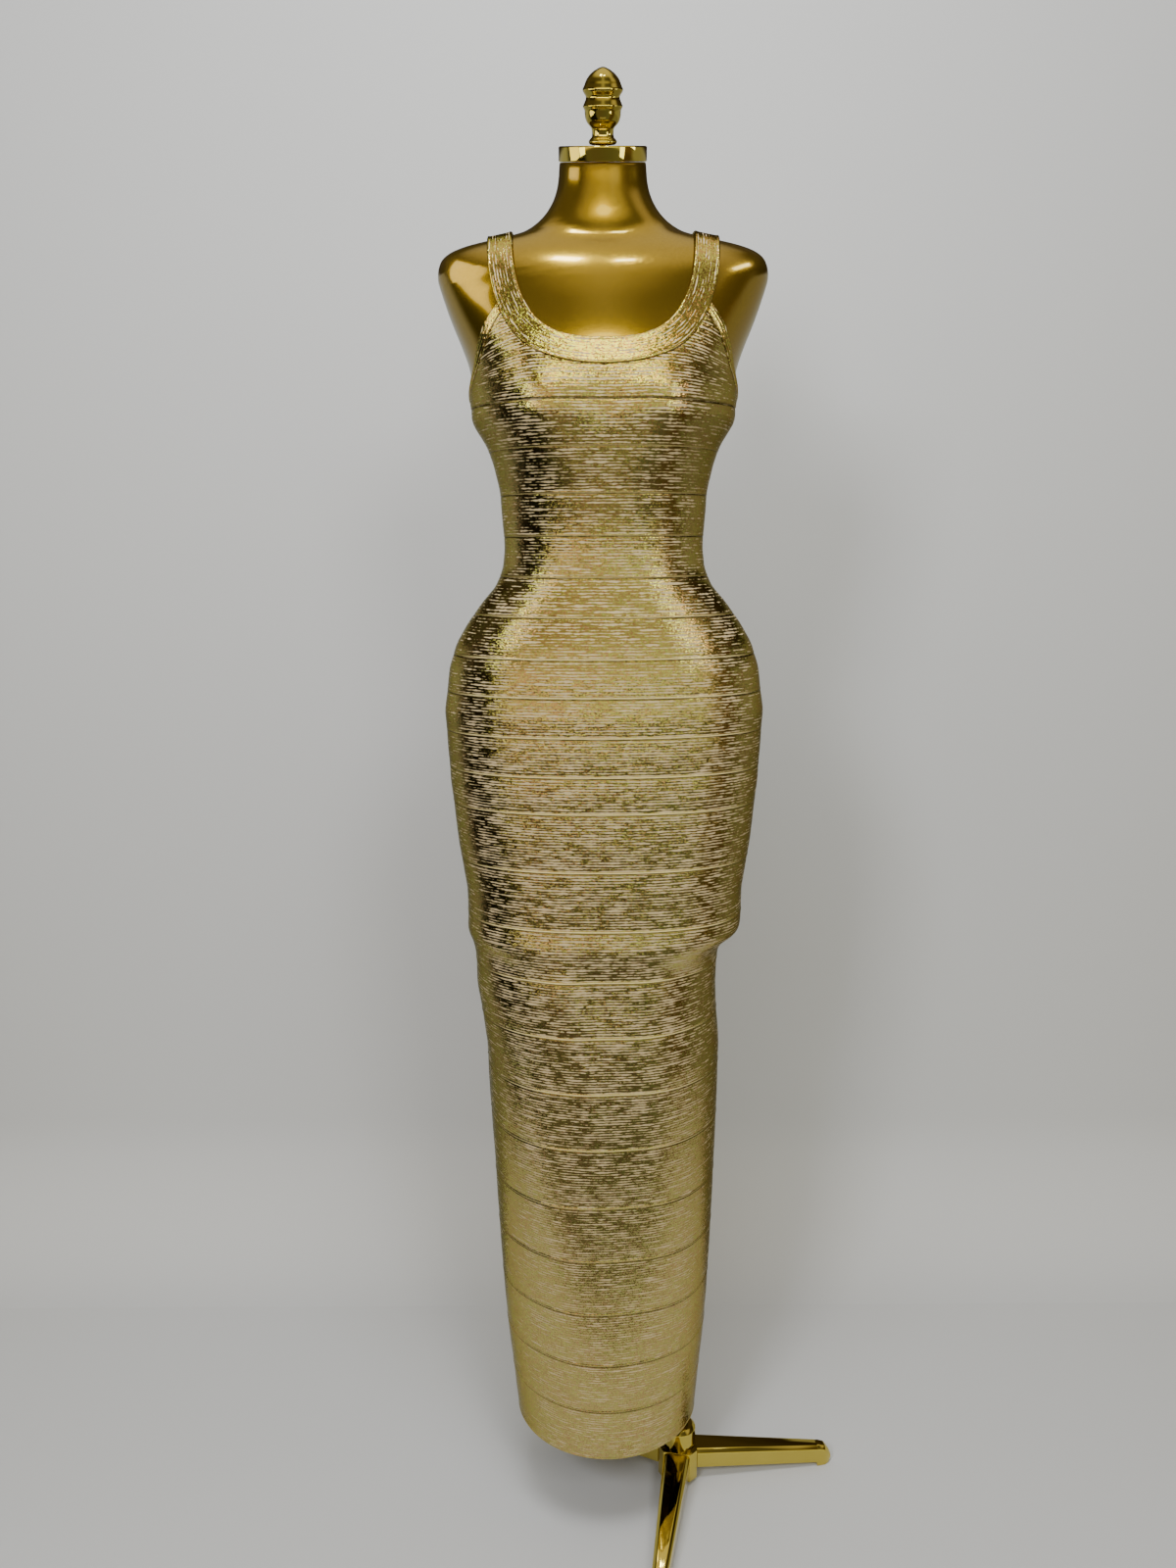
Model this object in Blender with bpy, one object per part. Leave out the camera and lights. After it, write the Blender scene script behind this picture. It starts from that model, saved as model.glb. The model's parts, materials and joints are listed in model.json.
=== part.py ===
"""Foil bandage-knit maxi dress, worn by a limbless dress form on a pole and a three-legged stand.

Metres, +Z up, the dress's front towards -Y. The dress is built on a figure: one smooth body whose
level sections are listed in FIGURE. The form is that figure; each cloth piece is a thin wall that
lies a set distance off it. Everything is worked out about the form's upright axis and, at the end,
moved so that the origin is under the middle of the whole part, on the floor.
"""
import math

import bmesh
import bpy
import numpy as np
from mathutils import Matrix, Vector

# ---------------------------------------------------------------- driving dimensions
SEAM_GAP = 0.0003          # between pieces that meet
CLOTH_LIFT = 0.0008        # from the figure to the inside of the level bands
BODICE_LIFT = 0.0018       # and to the inside of the neck band, bodice tops and bindings
CLOTH_THICKNESS = 0.0015
EDGE_THICKNESS = 0.0019    # neck band and armhole bindings are doubled knit

TOP_SEAM = 1.3645          # level seam under the arms: the bodice top ends, the bands begin
NARROW_BANDS = (0.0457, 0.0474, 0.0446, 0.0447, 0.0427, 0.0445, 0.0413, 0.0436, 0.0433, 0.0411)
WIDE_BANDS = (0.0660, 0.0682, 0.0592, 0.0657, 0.0670, 0.0693, 0.0743, 0.0692, 0.0703, 0.0684,
              0.0636, 0.0658)    # band heights as worn, in order down the dress

NECK_BAND_WIDTH = 0.027
NECK_HALF_WIDTH = 0.0895   # of the opening, low in the scoop
STRAP_HALF_SPACING = 0.0965  # of the opening, at the shoulder seams
FRONT_SCOOP_HEIGHT = 1.4255
BACK_SCOOP_HEIGHT = 1.4560
SCOOP_SQUARENESS = 3.0
STRAP_CREST = 0.004        # height over which a strap's inner edge turns over the shoulder
STRAP_START_RISE = 0.0405  # from a scoop's lowest point to where the armhole leaves the band
BINDING_END = 0.010        # of the neck band's edge that a binding's end lies along
BINDING_TIP_GAP = 0.001    # along that edge, from the bodice top's corner to the binding

BINDING_WIDTH = 0.007
ARMHOLE_TOP = 1.450        # the round lower part of an armhole, seen from the side
ARMHOLE_DROP = 0.0715
ARMHOLE_FRONT = 0.0705
ARMHOLE_BACK = 0.0760
ARMHOLE_SQUARENESS = 1.6

FORM_BASE = 0.770
FORM_BASE_ROUND = 0.006
BASE_FOLD = 0.026          # how far below the base the cloth's fold around it reaches
FOLD_EDGE = 0.002
NECK_TOP = 1.622
NECK_TOP_ROUND = 0.0012
NECK_LEAN = math.radians(16.4)    # the neck's top, the cap and the finial face this much forward
NECK_LEAN_START = 1.566    # the height from which the neck's levels turn towards its leaning top
BUST_RISE = 0.013
BUST_SPREAD = 0.068
BUST_HALF_WIDTH = 0.045
BUST_HEIGHT = 1.362
BUST_HALF_HEIGHT = 0.052
BLENDING = 0.005           # half the height over which neighbouring sections blend
FORM_ROW_SPACING = 0.018   # of the form's mesh above the bands
SHOULDER_ROW_SPACING = 0.0045
SHOULDER_START = 1.494
SHOULDER_END = 1.562
NECK_ROWS = (1.568, 1.578, 1.592, 1.606)

CAP_RADIUS = 0.0474
CAP_THICKNESS = 0.0150
POLE_OFFSET = 0.0975       # the pole stands under one thigh, not under the neck
POLE_RADIUS = 0.0113
POLE_IN_SOCKET = 0.035
SOCKET_RADIUS = 0.016
SOCKET_FLANGE_RADIUS = 0.030
SOCKET_FLANGE_THICKNESS = 0.004
COLLAR_RADIUS = 0.0220
COLLAR_HEIGHT = 0.0300
COLLAR_CHAMFER = 0.0045

HUB_BOTTOM = 0.0060
HUB_TOP = 0.0465
HUB_REACH = 0.0215         # from the pole's axis to the flats that the legs meet
LEG_HEADINGS = {"leg_side": 6.0, "leg_back": 152.0, "leg_front": 259.0}
LEG_REACH = 0.208
LEG_ROOT_WIDTH = 0.035
LEG_TIP_WIDTH = 0.019
LEG_ROOT_TOP = 0.0456
LEG_TIP_TOP = 0.0290
LEG_ROOT_UNDERSIDE = 0.0205
LEG_TIP_UNDERSIDE = 0.0052
LEG_SHOULDER = 0.0045      # chamfer along a leg's two upper edges
FOOT_LEAD = 0.004          # from where a leg's underside drops to the floor to its rounded tip
FOOT_STEP = 0.0008         # length of that drop

COLUMNS = 36               # points around a level section
SCOOP_SPANS = COLUMNS // 2  # spans of the neckline between the two straps
STRAP_SPANS = 8
ARMHOLE_SPANS = 8          # from a strap down to the side seam
FINE_SPANS = 400           # of the curves that are then divided into the spans above
TURNED_STEPS = 24          # facets around the turned metal pieces

# The figure, from the hem up. The sway is how far a section's middle stands to +X of the upright
# axis. The depths run from the axis to the front and to the back; the squareness is the power of
# each section's superellipse, 2 for an ellipse.
FIGURE_COLUMNS = ("height", "sway", "half_width", "front", "back", "squareness")
FIGURE = np.array([
    (0.118, 0.0015, 0.1125, 0.1125, 0.1135, 2.00),    # hem
    (0.240, 0.0005, 0.1235, 0.1150, 0.1165, 2.05),
    (0.390, 0.0000, 0.1312, 0.1170, 0.1200, 2.10),
    (0.540, -0.0010, 0.1380, 0.1180, 0.1215, 2.20),
    (0.620, -0.0020, 0.1402, 0.1175, 0.1210, 2.30),
    (0.668, -0.0068, 0.1412, 0.1165, 0.1205, 2.30),
    (0.700, -0.0100, 0.1423, 0.1150, 0.1195, 2.35),
    (0.732, -0.0095, 0.1430, 0.1140, 0.1180, 2.35),
    (0.745, -0.0080, 0.1460, 0.1140, 0.1180, 2.35),
    (0.768, -0.0010, 0.1590, 0.1150, 0.1180, 2.45),    # the form's base
    (0.790, 0.0000, 0.1610, 0.1125, 0.1165, 2.45),
    (0.820, 0.0000, 0.1612, 0.1115, 0.1170, 2.45),
    (0.870, 0.0000, 0.1695, 0.1110, 0.1195, 2.40),
    (0.950, 0.0000, 0.1778, 0.1100, 0.1250, 2.35),
    (1.030, 0.0000, 0.1825, 0.1090, 0.1260, 2.30),    # hips
    (1.080, 0.0000, 0.1758, 0.1055, 0.1190, 2.30),
    (1.105, 0.0000, 0.1680, 0.1025, 0.1110, 2.25),
    (1.130, 0.0000, 0.1535, 0.0985, 0.1020, 2.20),
    (1.150, 0.0000, 0.1390, 0.0950, 0.0940, 2.20),
    (1.170, 0.0000, 0.1215, 0.0920, 0.0880, 2.15),
    (1.192, 0.0000, 0.1125, 0.0900, 0.0840, 2.10),
    (1.213, 0.0000, 0.1100, 0.0895, 0.0825, 2.10),    # waist
    (1.245, 0.0000, 0.1120, 0.0920, 0.0850, 2.10),
    (1.280, 0.0000, 0.1148, 0.0985, 0.0905, 2.10),
    (1.305, 0.0000, 0.1205, 0.1050, 0.0945, 2.15),
    (1.328, 0.0000, 0.1290, 0.1095, 0.0985, 2.20),
    (1.352, 0.0000, 0.1438, 0.1115, 0.1010, 2.25),    # bust
    (1.380, 0.0000, 0.1452, 0.1110, 0.1035, 2.30),
    (1.404, 0.0000, 0.1458, 0.1090, 0.1050, 2.30),    # armpits
    (1.430, 0.0000, 0.1555, 0.1050, 0.1050, 2.25),
    (1.453, 0.0000, 0.1655, 0.0990, 0.1030, 2.20),
    (1.478, 0.0000, 0.1745, 0.0900, 0.0980, 2.20),
    (1.502, 0.0000, 0.1818, 0.0785, 0.0880, 2.20),    # shoulders
    (1.514, 0.0000, 0.1806, 0.0710, 0.0800, 2.20),
    (1.526, 0.0000, 0.1750, 0.0615, 0.0690, 2.15),
    (1.534, 0.0000, 0.1580, 0.0540, 0.0610, 2.10),
    (1.540, 0.0000, 0.1300, 0.0500, 0.0570, 2.10),
    (1.5435, 0.0000, 0.1010, 0.0485, 0.0555, 2.05),
    (1.550, 0.0000, 0.0850, 0.0470, 0.0540, 2.05),
    (1.562, 0.0000, 0.0680, 0.0465, 0.0520, 2.00),
    (1.573, 0.0000, 0.0585, 0.0462, 0.0508, 2.00),    # neck
    (1.586, 0.0000, 0.0516, 0.0461, 0.0498, 2.00),
    (1.600, 0.0000, 0.0478, 0.0462, 0.0486, 2.00),
    (1.622, 0.0000, 0.0470, 0.0465, 0.0480, 2.00),
])

# The finial's outline, from the cap up: height above the cap, radius.
FINIAL = [
    (0.0000, 0.0126), (0.0020, 0.0148), (0.0041, 0.0153), (0.0059, 0.0142), (0.0076, 0.0119),
    (0.0100, 0.0114), (0.0130, 0.0114), (0.0168, 0.0119), (0.0188, 0.0143), (0.0206, 0.0160),
    (0.0228, 0.0176), (0.0264, 0.0188), (0.0301, 0.0192), (0.0333, 0.0192), (0.0353, 0.0206),
    (0.0370, 0.0213), (0.0388, 0.0201), (0.0420, 0.0186), (0.0447, 0.0176), (0.0468, 0.0184),
    (0.0495, 0.0205), (0.0517, 0.0216), (0.0538, 0.0209), (0.0561, 0.0194), (0.0597, 0.0182),
    (0.0632, 0.0161), (0.0668, 0.0127), (0.0698, 0.0084), (0.0717, 0.0045),
]
FINIAL_HEIGHT = 0.0729

# A leg's rounded tip: distance along it, share of the tip's width left there, how far its top has
# come down, height of its underside.
LEG_TIP = [
    (0.0000, 1.00, 0.0000, 0.0000), (0.0077, 0.89, 0.0021, 0.0000), (0.0128, 0.66, 0.0080, 0.0010),
    (0.0156, 0.40, 0.0137, 0.0044), (0.0170, 0.30, 0.0170, 0.0060),
]

CAP_BOTTOM = NECK_TOP + SEAM_GAP
CAP_TOP = CAP_BOTTOM + CAP_THICKNESS
COLLAR_BOTTOM = HUB_TOP + SEAM_GAP
SOCKET_TOP = FORM_BASE - SEAM_GAP
POLE_TOP = SOCKET_TOP - SOCKET_FLANGE_THICKNESS - SEAM_GAP


# ---------------------------------------------------------------- the figure
def section(height):
    """Sway, half width, front depth, back depth and squareness of the figure at a height."""
    window = np.linspace(-BLENDING, BLENDING, 7)
    heights = np.asarray(height, float)[..., None] + window
    return [
        np.interp(heights, FIGURE[:, 0], FIGURE[:, FIGURE_COLUMNS.index(name)]).mean(axis=-1)
        for name in FIGURE_COLUMNS[1:]
    ]


def bust(x, z):
    """How far the bust stands out in front of the plain section, at x from its middle."""
    across = (np.abs(x) - BUST_SPREAD) / BUST_HALF_WIDTH
    up = (z - BUST_HEIGHT) / BUST_HALF_HEIGHT
    return BUST_RISE * np.exp(-across ** 2 - up ** 2)


def depth(x, z, in_front):
    """Reach of the figure's section to the front or the back, at x from its middle."""
    _, _, front, back, _ = section(z)
    return np.where(in_front, front + bust(x, z), back)


def figure_points(turn, height):
    """Points of the figure at heights and turns: 0 at +X, a quarter turn at +Y, the back."""
    sway, half_width, _, _, power = section(height)
    reach = (np.abs(np.cos(turn)) ** power + np.abs(np.sin(turn)) ** power) ** (-1 / power)
    x = half_width * reach * np.cos(turn)
    y = depth(x, height, np.sin(turn) < 0) * reach * np.sin(turn)
    return np.stack([sway + x, y, height + 0 * x], axis=-1)


def turns_of(points, side):
    """The turns of points of the front half (side -1) or the back half (side +1) of the figure."""
    sway, half_width = section(points[..., 2])[:2]
    x = points[..., 0] - sway
    along = np.abs(points[..., 1]) / depth(x, points[..., 2], side < 0)
    return side * np.arctan2(along, x / half_width)


def figure_ring(height, columns=COLUMNS):
    """Points around the figure at one height, from +X towards +Y."""
    return figure_points(np.arange(columns) * 2 * math.pi / columns, height)


def figure_field(points):
    """Zero on the figure, negative inside it, for an array of points."""
    y, z = points[..., 1], points[..., 2]
    sway, half_width, _, _, power = section(z)
    x = points[..., 0] - sway
    across = np.abs(x / half_width) ** power
    along = np.abs(y / depth(x, z, y < 0)) ** power
    return (across + along) ** (1 / power) - 1


def field_slope(points):
    """Gradient of figure_field."""
    step = 0.0002
    slopes = []
    for axis in range(3):
        move = np.zeros(3)
        move[axis] = step
        slopes.append((figure_field(points + move) - figure_field(points - move)) / (2 * step))
    return np.stack(slopes, axis=-1)


def figure_normals(points):
    slope = field_slope(points)
    return slope / np.linalg.norm(slope, axis=-1, keepdims=True)


def onto_figure(points):
    """The nearest points on the figure, by a few steps along its slope."""
    points = np.array(points, float)
    for _ in range(10):
        slope = field_slope(points)
        points -= (figure_field(points) / (slope ** 2).sum(axis=-1))[..., None] * slope
    return points


def off_figure(points, distance):
    """Points moved out from the figure, square to it."""
    return points + distance * figure_normals(points)


# ---------------------------------------------------------------- lines on the figure
def run_lengths(line):
    return np.concatenate([[0], np.cumsum(np.linalg.norm(np.diff(line, axis=0), axis=1))])


def at_stations(line, stations):
    """Points of a line at distances from its start, put on the figure."""
    lengths = run_lengths(line)
    picked = [np.interp(stations, lengths, line[:, axis]) for axis in range(3)]
    return onto_figure(np.column_stack(picked))


def sideways(line, distance):
    """A closed line moved across the figure by a distance, towards the hem from a neckline."""
    moved = np.array(line)
    steps = 6
    for _ in range(steps):
        along = np.roll(moved, -1, axis=0) - np.roll(moved, 1, axis=0)
        across = np.cross(along, figure_normals(moved))
        across /= np.linalg.norm(across, axis=1, keepdims=True)
        moved = onto_figure(moved + across * distance / steps)
    return moved


def half_neckline(scoop_height, side):
    """One half of the opening's edge at x > 0: stations from the centre of the scoop to the shoulder.

    side is -1 for the front and +1 for the back.
    """
    slope = np.linspace(SHOULDER_START, NECK_TOP, FINE_SPANS)
    slope = slope[np.argmax(section(slope)[1]):]
    shoulder = np.interp(-STRAP_HALF_SPACING, -section(slope)[1], slope)
    drop = shoulder - STRAP_CREST - scoop_height
    turn = np.linspace(0, math.pi / 2, FINE_SPANS)[:-1]
    down = np.cos(turn) ** (2 / SCOOP_SQUARENESS)
    half = NECK_HALF_WIDTH + (STRAP_HALF_SPACING - NECK_HALF_WIDTH) * (1 - down)
    x = half * np.sin(turn) ** (2 / SCOOP_SQUARENESS)
    z = scoop_height + drop * (1 - down)
    _, half_width, _, _, power = section(z)
    inside = np.clip(1 - (x / half_width) ** power, 0, None) ** (1 / power)
    y = side * depth(x, z, side < 0) * inside
    crest = (STRAP_HALF_SPACING, 0, shoulder)
    line = onto_figure(np.vstack([np.column_stack([x, y, z]), crest]))
    line[-1, 1] = 0
    lengths = run_lengths(line)
    strap_start = np.interp(scoop_height + STRAP_START_RISE, line[:, 2], lengths)
    stations = np.concatenate([
        np.linspace(0, strap_start, SCOOP_SPANS // 2 + 1),
        np.linspace(strap_start + BINDING_END, lengths[-1], STRAP_SPANS),
    ])
    return at_stations(line, stations)


def neckline():
    """The opening's edge as a closed line: left shoulder, front, right shoulder, back."""
    mirror = np.array([-1, 1, 1])
    front = half_neckline(FRONT_SCOOP_HEIGHT, -1)
    back = half_neckline(BACK_SCOOP_HEIGHT, 1)
    front_run = np.vstack([(front * mirror)[:0:-1], front])
    back_run = np.vstack([back[::-1], (back * mirror)[1:]])
    return np.vstack([front_run, back_run[1:-1]])


def armhole_run(side, start, end, margin):
    """The edge of the armhole at x > 0, or a line a margin outside it, down from the strap.

    side is -1 for the front and +1 for the back; start is a point at the strap's foot and end is
    the lowest point, under the arm.
    """
    reach = (ARMHOLE_FRONT if side < 0 else ARMHOLE_BACK) + margin
    drop = ARMHOLE_DROP + margin
    turn = np.radians(np.arange(9, 87, 1.5))    # the ends are reached straight
    y = side * reach * np.cos(turn) ** (2 / ARMHOLE_SQUARENESS)
    z = ARMHOLE_TOP - drop * np.sin(turn) ** (2 / ARMHOLE_SQUARENESS)
    _, half_width, front, back, power = section(z)
    inside = np.clip(1 - np.abs(y / (front if side < 0 else back)) ** power, 0, None)
    x = half_width * inside ** (1 / power)
    rough = np.vstack([start, np.column_stack([x, y, z]), end])
    line = onto_figure(rough)
    lengths = run_lengths(line)
    run = at_stations(line, np.linspace(0, lengths[-1], ARMHOLE_SPANS + 1))
    run[0] = start
    run[-1] = end
    return run


def side_point(height):
    """The figure's outermost point at +X at a height."""
    return np.array([float(section(height)[1]), 0.0, height])


# ---------------------------------------------------------------- meshes and materials
def material(name, colour, roughness, metallic):
    made = bpy.data.materials.new(name)
    made.use_nodes = True
    shader = made.node_tree.nodes["Principled BSDF"]
    shader.inputs["Base Color"].default_value = (*colour, 1)
    shader.inputs["Roughness"].default_value = roughness
    shader.inputs["Metallic"].default_value = metallic
    return made


def foil_knit(name):
    return material(name, (0.56, 0.45, 0.25), 0.42, 0.60)


def gold_paint(name):
    return material(name, (0.52, 0.34, 0.05), 0.20, 0.70)


def gold_plate(name):
    return material(name, (0.83, 0.62, 0.24), 0.08, 1.00)


def add_object(name, bm, finish):
    """A named object from a bmesh, shaded smooth except over its sharp edges."""
    mesh = bpy.data.meshes.new(name)
    bm.to_mesh(mesh)
    bm.free()
    mesh.shade_smooth()
    mesh.set_sharp_from_angle(angle=math.radians(40))
    mesh.materials.append(finish(name))
    made = bpy.data.objects.new(name, mesh)
    bpy.context.collection.objects.link(made)
    return made


def add_grid(bm, grid, wrap, flip=False):
    """Two triangles for each cell of a grid of points; returns its vertices, row by row."""
    rows, columns = grid.shape[:2]
    verts = [[bm.verts.new(point) for point in row] for row in grid]
    spans = columns if wrap else columns - 1
    for row in range(rows - 1):
        for column in range(spans):
            after = (column + 1) % columns
            lower, upper = verts[row], verts[row + 1]
            corners = [lower[column], lower[after], upper[after], upper[column]]
            for face in (corners[:3], [corners[0], corners[2], corners[3]]):
                bm.faces.new(face[::-1] if flip else face)
    return verts


def add_rim(bm, outer, inner, flip=False):
    """Joins an outer line of vertices to the inner one behind it, with a strip of triangles."""
    for column in range(len(outer) - 1):
        quad = [outer[column], inner[column], inner[column + 1], outer[column + 1]]
        for face in (quad[:3], [quad[0], quad[2], quad[3]]):
            bm.faces.new(face[::-1] if flip else face)


def cloth_wall(name, on_figure, thickness, lift=CLOTH_LIFT, wrap=False):
    """A closed wall of cloth over a grid of points of the figure.

    The rows run up the cloth, and the columns run anticlockwise about the upright axis. lift is one
    distance, or one for each row.
    """
    lift = np.broadcast_to(lift, on_figure.shape[0])[:, None, None]
    bm = bmesh.new()
    inner = add_grid(bm, off_figure(on_figure, lift), wrap, flip=True)
    outer = add_grid(bm, off_figure(on_figure, lift + thickness), wrap)
    closing = [0] if wrap else []

    def row(verts, index):
        return verts[index] + [verts[index][column] for column in closing]

    add_rim(bm, row(outer, 0), row(inner, 0))
    add_rim(bm, row(outer, -1), row(inner, -1), flip=True)
    if not wrap:
        add_rim(bm, [line[0] for line in outer], [line[0] for line in inner], flip=True)
        add_rim(bm, [line[-1] for line in outer], [line[-1] for line in inner])
    return add_object(name, bm, foil_knit)


# ---------------------------------------------------------------- the dress
def band_seams():
    """Heights of the seams between the level bands, from under the arms to the hem."""
    return TOP_SEAM - np.cumsum((0,) + NARROW_BANDS + WIDE_BANDS)


def band_rows(top, bottom):
    """Heights of a band's rows of points, from its lower edge to its upper edge.

    Where the band lies on the form it has a middle row; where it leaves the form's base, rows follow
    the fold that the base's edge presses into it.
    """
    between = [(top + bottom) / 2] if bottom > FORM_BASE else []
    if bottom < FORM_BASE < top:
        between = [FORM_BASE - BASE_FOLD, FORM_BASE - FOLD_EDGE, FORM_BASE + FORM_BASE_ROUND]
    return np.array([bottom] + between + [top])


def make_bands():
    seams = band_seams()
    made = []
    for index, (top, bottom) in enumerate(zip(seams, seams[1:])):
        heights = band_rows(top, bottom)
        heights[0] += SEAM_GAP / 2
        heights[-1] -= SEAM_GAP / 2
        grid = np.stack([figure_ring(height) for height in heights])
        made.append(cloth_wall(f"band_{index + 1:02d}", grid, CLOTH_THICKNESS, wrap=True))
    return made


def shoulder_gap(run):
    """A line drawn back at both ends, by half a seam's gap."""
    run = run.copy()
    for end, before in ((0, 1), (-1, -2)):
        inward = run[before] - run[end]
        run[end] = run[end] + inward * (SEAM_GAP / 2 / np.linalg.norm(inward))
    return run


def make_neck_band(half, lines):
    """Front or back half of the neck band, straps included, between the two shoulder seams."""
    grid = np.stack([shoulder_gap(line) for line in lines])
    return cloth_wall(f"neck_band_{half}", grid, EDGE_THICKNESS, BODICE_LIFT)


def blended_patch(side, bottom, top, left, right):
    """A grid of points of the figure's front or back between four edge lines.

    bottom and top run the same way with as many points; left and right run up from the bottom. The
    lines are blended by turn and height, so that every point lies on the figure.
    """
    lengths = run_lengths(left)
    v = (lengths / lengths[-1])[:, None, None]
    u = np.linspace(0, 1, len(bottom))[None, :, None]
    bottom, top, left, right = [
        np.stack([turns_of(line, side), line[:, 2]], axis=-1) for line in (bottom, top, left, right)
    ]
    grid = (1 - v) * bottom[None] + v * top[None] + (1 - u) * left[:, None] + u * right[:, None]
    grid -= (1 - u) * (1 - v) * bottom[0] + u * (1 - v) * bottom[-1]
    grid -= (1 - u) * v * top[0] + u * v * top[-1]
    return figure_points(grid[..., 0], grid[..., 1])


def make_bodice():
    """Neck band, bodice tops and armhole bindings: all that is above the first level seam."""
    mirror = np.array([-1, 1, 1])
    edge = neckline()
    middle = sideways(edge, NECK_BAND_WIDTH / 2)
    rim = sideways(edge, NECK_BAND_WIDTH)
    seam = sideways(rim, SEAM_GAP)
    half_count = len(edge) // 2
    strap = STRAP_SPANS
    made = []
    halves = {
        "front": np.arange(0, half_count + 1),
        "back": np.arange(half_count, 2 * half_count + 1) % len(edge),
    }
    armhole_lows = {margin: side_point(ARMHOLE_TOP - ARMHOLE_DROP - margin)
                    for margin in (0, BINDING_WIDTH, BINDING_WIDTH + SEAM_GAP)}
    for half, side in (("front", -1), ("back", 1)):
        columns = halves[half]
        # rows from the lower rim to the opening's edge; columns anticlockwise
        lines = [rim[columns], middle[columns], edge[columns]]
        made.append(make_neck_band(half, lines))

        top = seam[columns][strap:len(columns) - strap]
        at_positive_x = top[-1] if side < 0 else top[0]
        margin = BINDING_WIDTH + SEAM_GAP
        run = armhole_run(side, at_positive_x, armhole_lows[margin], margin)
        side_seam = np.array([SEAM_GAP / 2 * side, SEAM_GAP / 2])
        under = side_point(TOP_SEAM + side_seam[1])
        upward = np.vstack([under, run[::-1]])
        quarter = COLUMNS // 2
        ring = figure_ring(TOP_SEAM + SEAM_GAP / 2)
        turns = np.arange(quarter, 2 * quarter + 1) if side < 0 else np.arange(0, quarter + 1)
        bottom = ring[turns % COLUMNS]
        left, right = (upward * mirror, upward) if side < 0 else (upward, upward * mirror)
        patch = blended_patch(side, bottom, top, left, right)
        # the side seams: the last columns stand half a gap off the y = 0 plane
        patch[:2, 0, 1] = patch[:2, -1, 1] = side_seam[0]
        lift = np.full(len(patch), BODICE_LIFT)
        lift[0] = (CLOTH_LIFT + BODICE_LIFT) / 2
        made.append(cloth_wall(f"bodice_top_{half}", patch, CLOTH_THICKNESS, lift))

    tips = {}
    for side in (-1, 1):
        low, high = seam[half_count + side * strap], seam[half_count + side * (strap - 1)]
        tips[side] = (low + (high - low) * BINDING_TIP_GAP / BINDING_END, high)
    for name, flip in (("right", 1), ("left", -1)):
        runs = []
        for margin, tip in ((BINDING_WIDTH, 0), (0, 1)):
            low = armhole_lows[margin]
            front = armhole_run(-1, tips[-1][tip], low, margin)
            back = armhole_run(1, tips[1][tip], low, margin)
            runs.append(np.vstack([front, back[-2::-1]]))
        grid = np.stack(runs)
        if flip < 0:
            grid = (grid * mirror)[:, ::-1]
        made.append(cloth_wall(f"armhole_binding_{name}", grid, EDGE_THICKNESS, BODICE_LIFT))
    return made


# ---------------------------------------------------------------- the form
def lean_neck(ring):
    """Turns a level of the neck towards the leaning plane of its top, which keeps its own shape."""
    share = np.clip((ring[:, 2] - NECK_LEAN_START) / (NECK_TOP - NECK_TOP_ROUND - NECK_LEAN_START), 0, 1)
    share = share * share * (3 - 2 * share)
    y = ring[:, 1] * math.cos(NECK_LEAN) ** share
    return np.column_stack([ring[:, 0], y, ring[:, 2] + y * math.tan(NECK_LEAN) * share])


def make_form():
    """The limbless torso: one closed, smooth body with a flat base and a flat, leaning neck top."""
    above_bands = np.concatenate([
        np.arange(TOP_SEAM + FORM_ROW_SPACING, SHOULDER_START, FORM_ROW_SPACING),
        np.arange(SHOULDER_START, SHOULDER_END, SHOULDER_ROW_SPACING),
        NECK_ROWS, [NECK_TOP - NECK_TOP_ROUND],
    ])
    seams = band_seams()
    on_bands = [row for top, bottom in zip(seams, seams[1:]) for row in band_rows(top, bottom)]
    on_bands = sorted({round(row, 6) for row in on_bands if row > FORM_BASE + FORM_BASE_ROUND / 2})
    heights = np.concatenate([on_bands, above_bands])
    rings = [figure_ring(height) for height in heights]

    def inset_ring(ring, height, inset):
        radius = np.linalg.norm(ring[:, :2], axis=1, keepdims=True)
        flat = ring[:, :2] * (1 - inset / radius)
        return np.column_stack([flat, np.full(len(ring), height)])

    rings.insert(0, inset_ring(rings[0], FORM_BASE, FORM_BASE_ROUND))
    rings.append(inset_ring(rings[-1], NECK_TOP, NECK_TOP_ROUND))
    bm = bmesh.new()
    verts = add_grid(bm, np.stack([lean_neck(ring) for ring in rings]), wrap=True)
    bm.faces.new(verts[0][::-1])
    bm.faces.new(verts[-1])
    return add_object("dress_form", bm, gold_paint)


# ---------------------------------------------------------------- turned and cast metal
def turned(name, outline, finish, at=(0.0, 0.0)):
    """A solid turned about an upright axis from (radius, height) points, lowest first.

    A point of radius zero closes an end. An outline that never reaches the axis is a closed ring.
    """
    bm = bmesh.new()
    profile = [bm.verts.new((at[0] + radius, at[1], height)) for radius, height in outline]
    edges = [bm.edges.new(pair) for pair in zip(profile, profile[1:])]
    bmesh.ops.spin(
        bm, geom=profile + edges, cent=(*at, 0), axis=(0, 0, 1),
        angle=2 * math.pi, steps=TURNED_STEPS, use_merge=True, use_duplicate=False,
    )
    bmesh.ops.remove_doubles(bm, verts=bm.verts, dist=0.00001)
    bmesh.ops.recalc_face_normals(bm, faces=bm.faces)
    return add_object(name, bm, finish)


def lean_forward(made):
    """Leans a piece that was turned upright, about the middle of the neck's top."""
    middle = Vector((0, 0, NECK_TOP))
    lean = Matrix.Rotation(NECK_LEAN, 4, "X")
    made.data.transform(Matrix.Translation(middle) @ lean @ Matrix.Translation(-middle))
    return made


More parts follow.
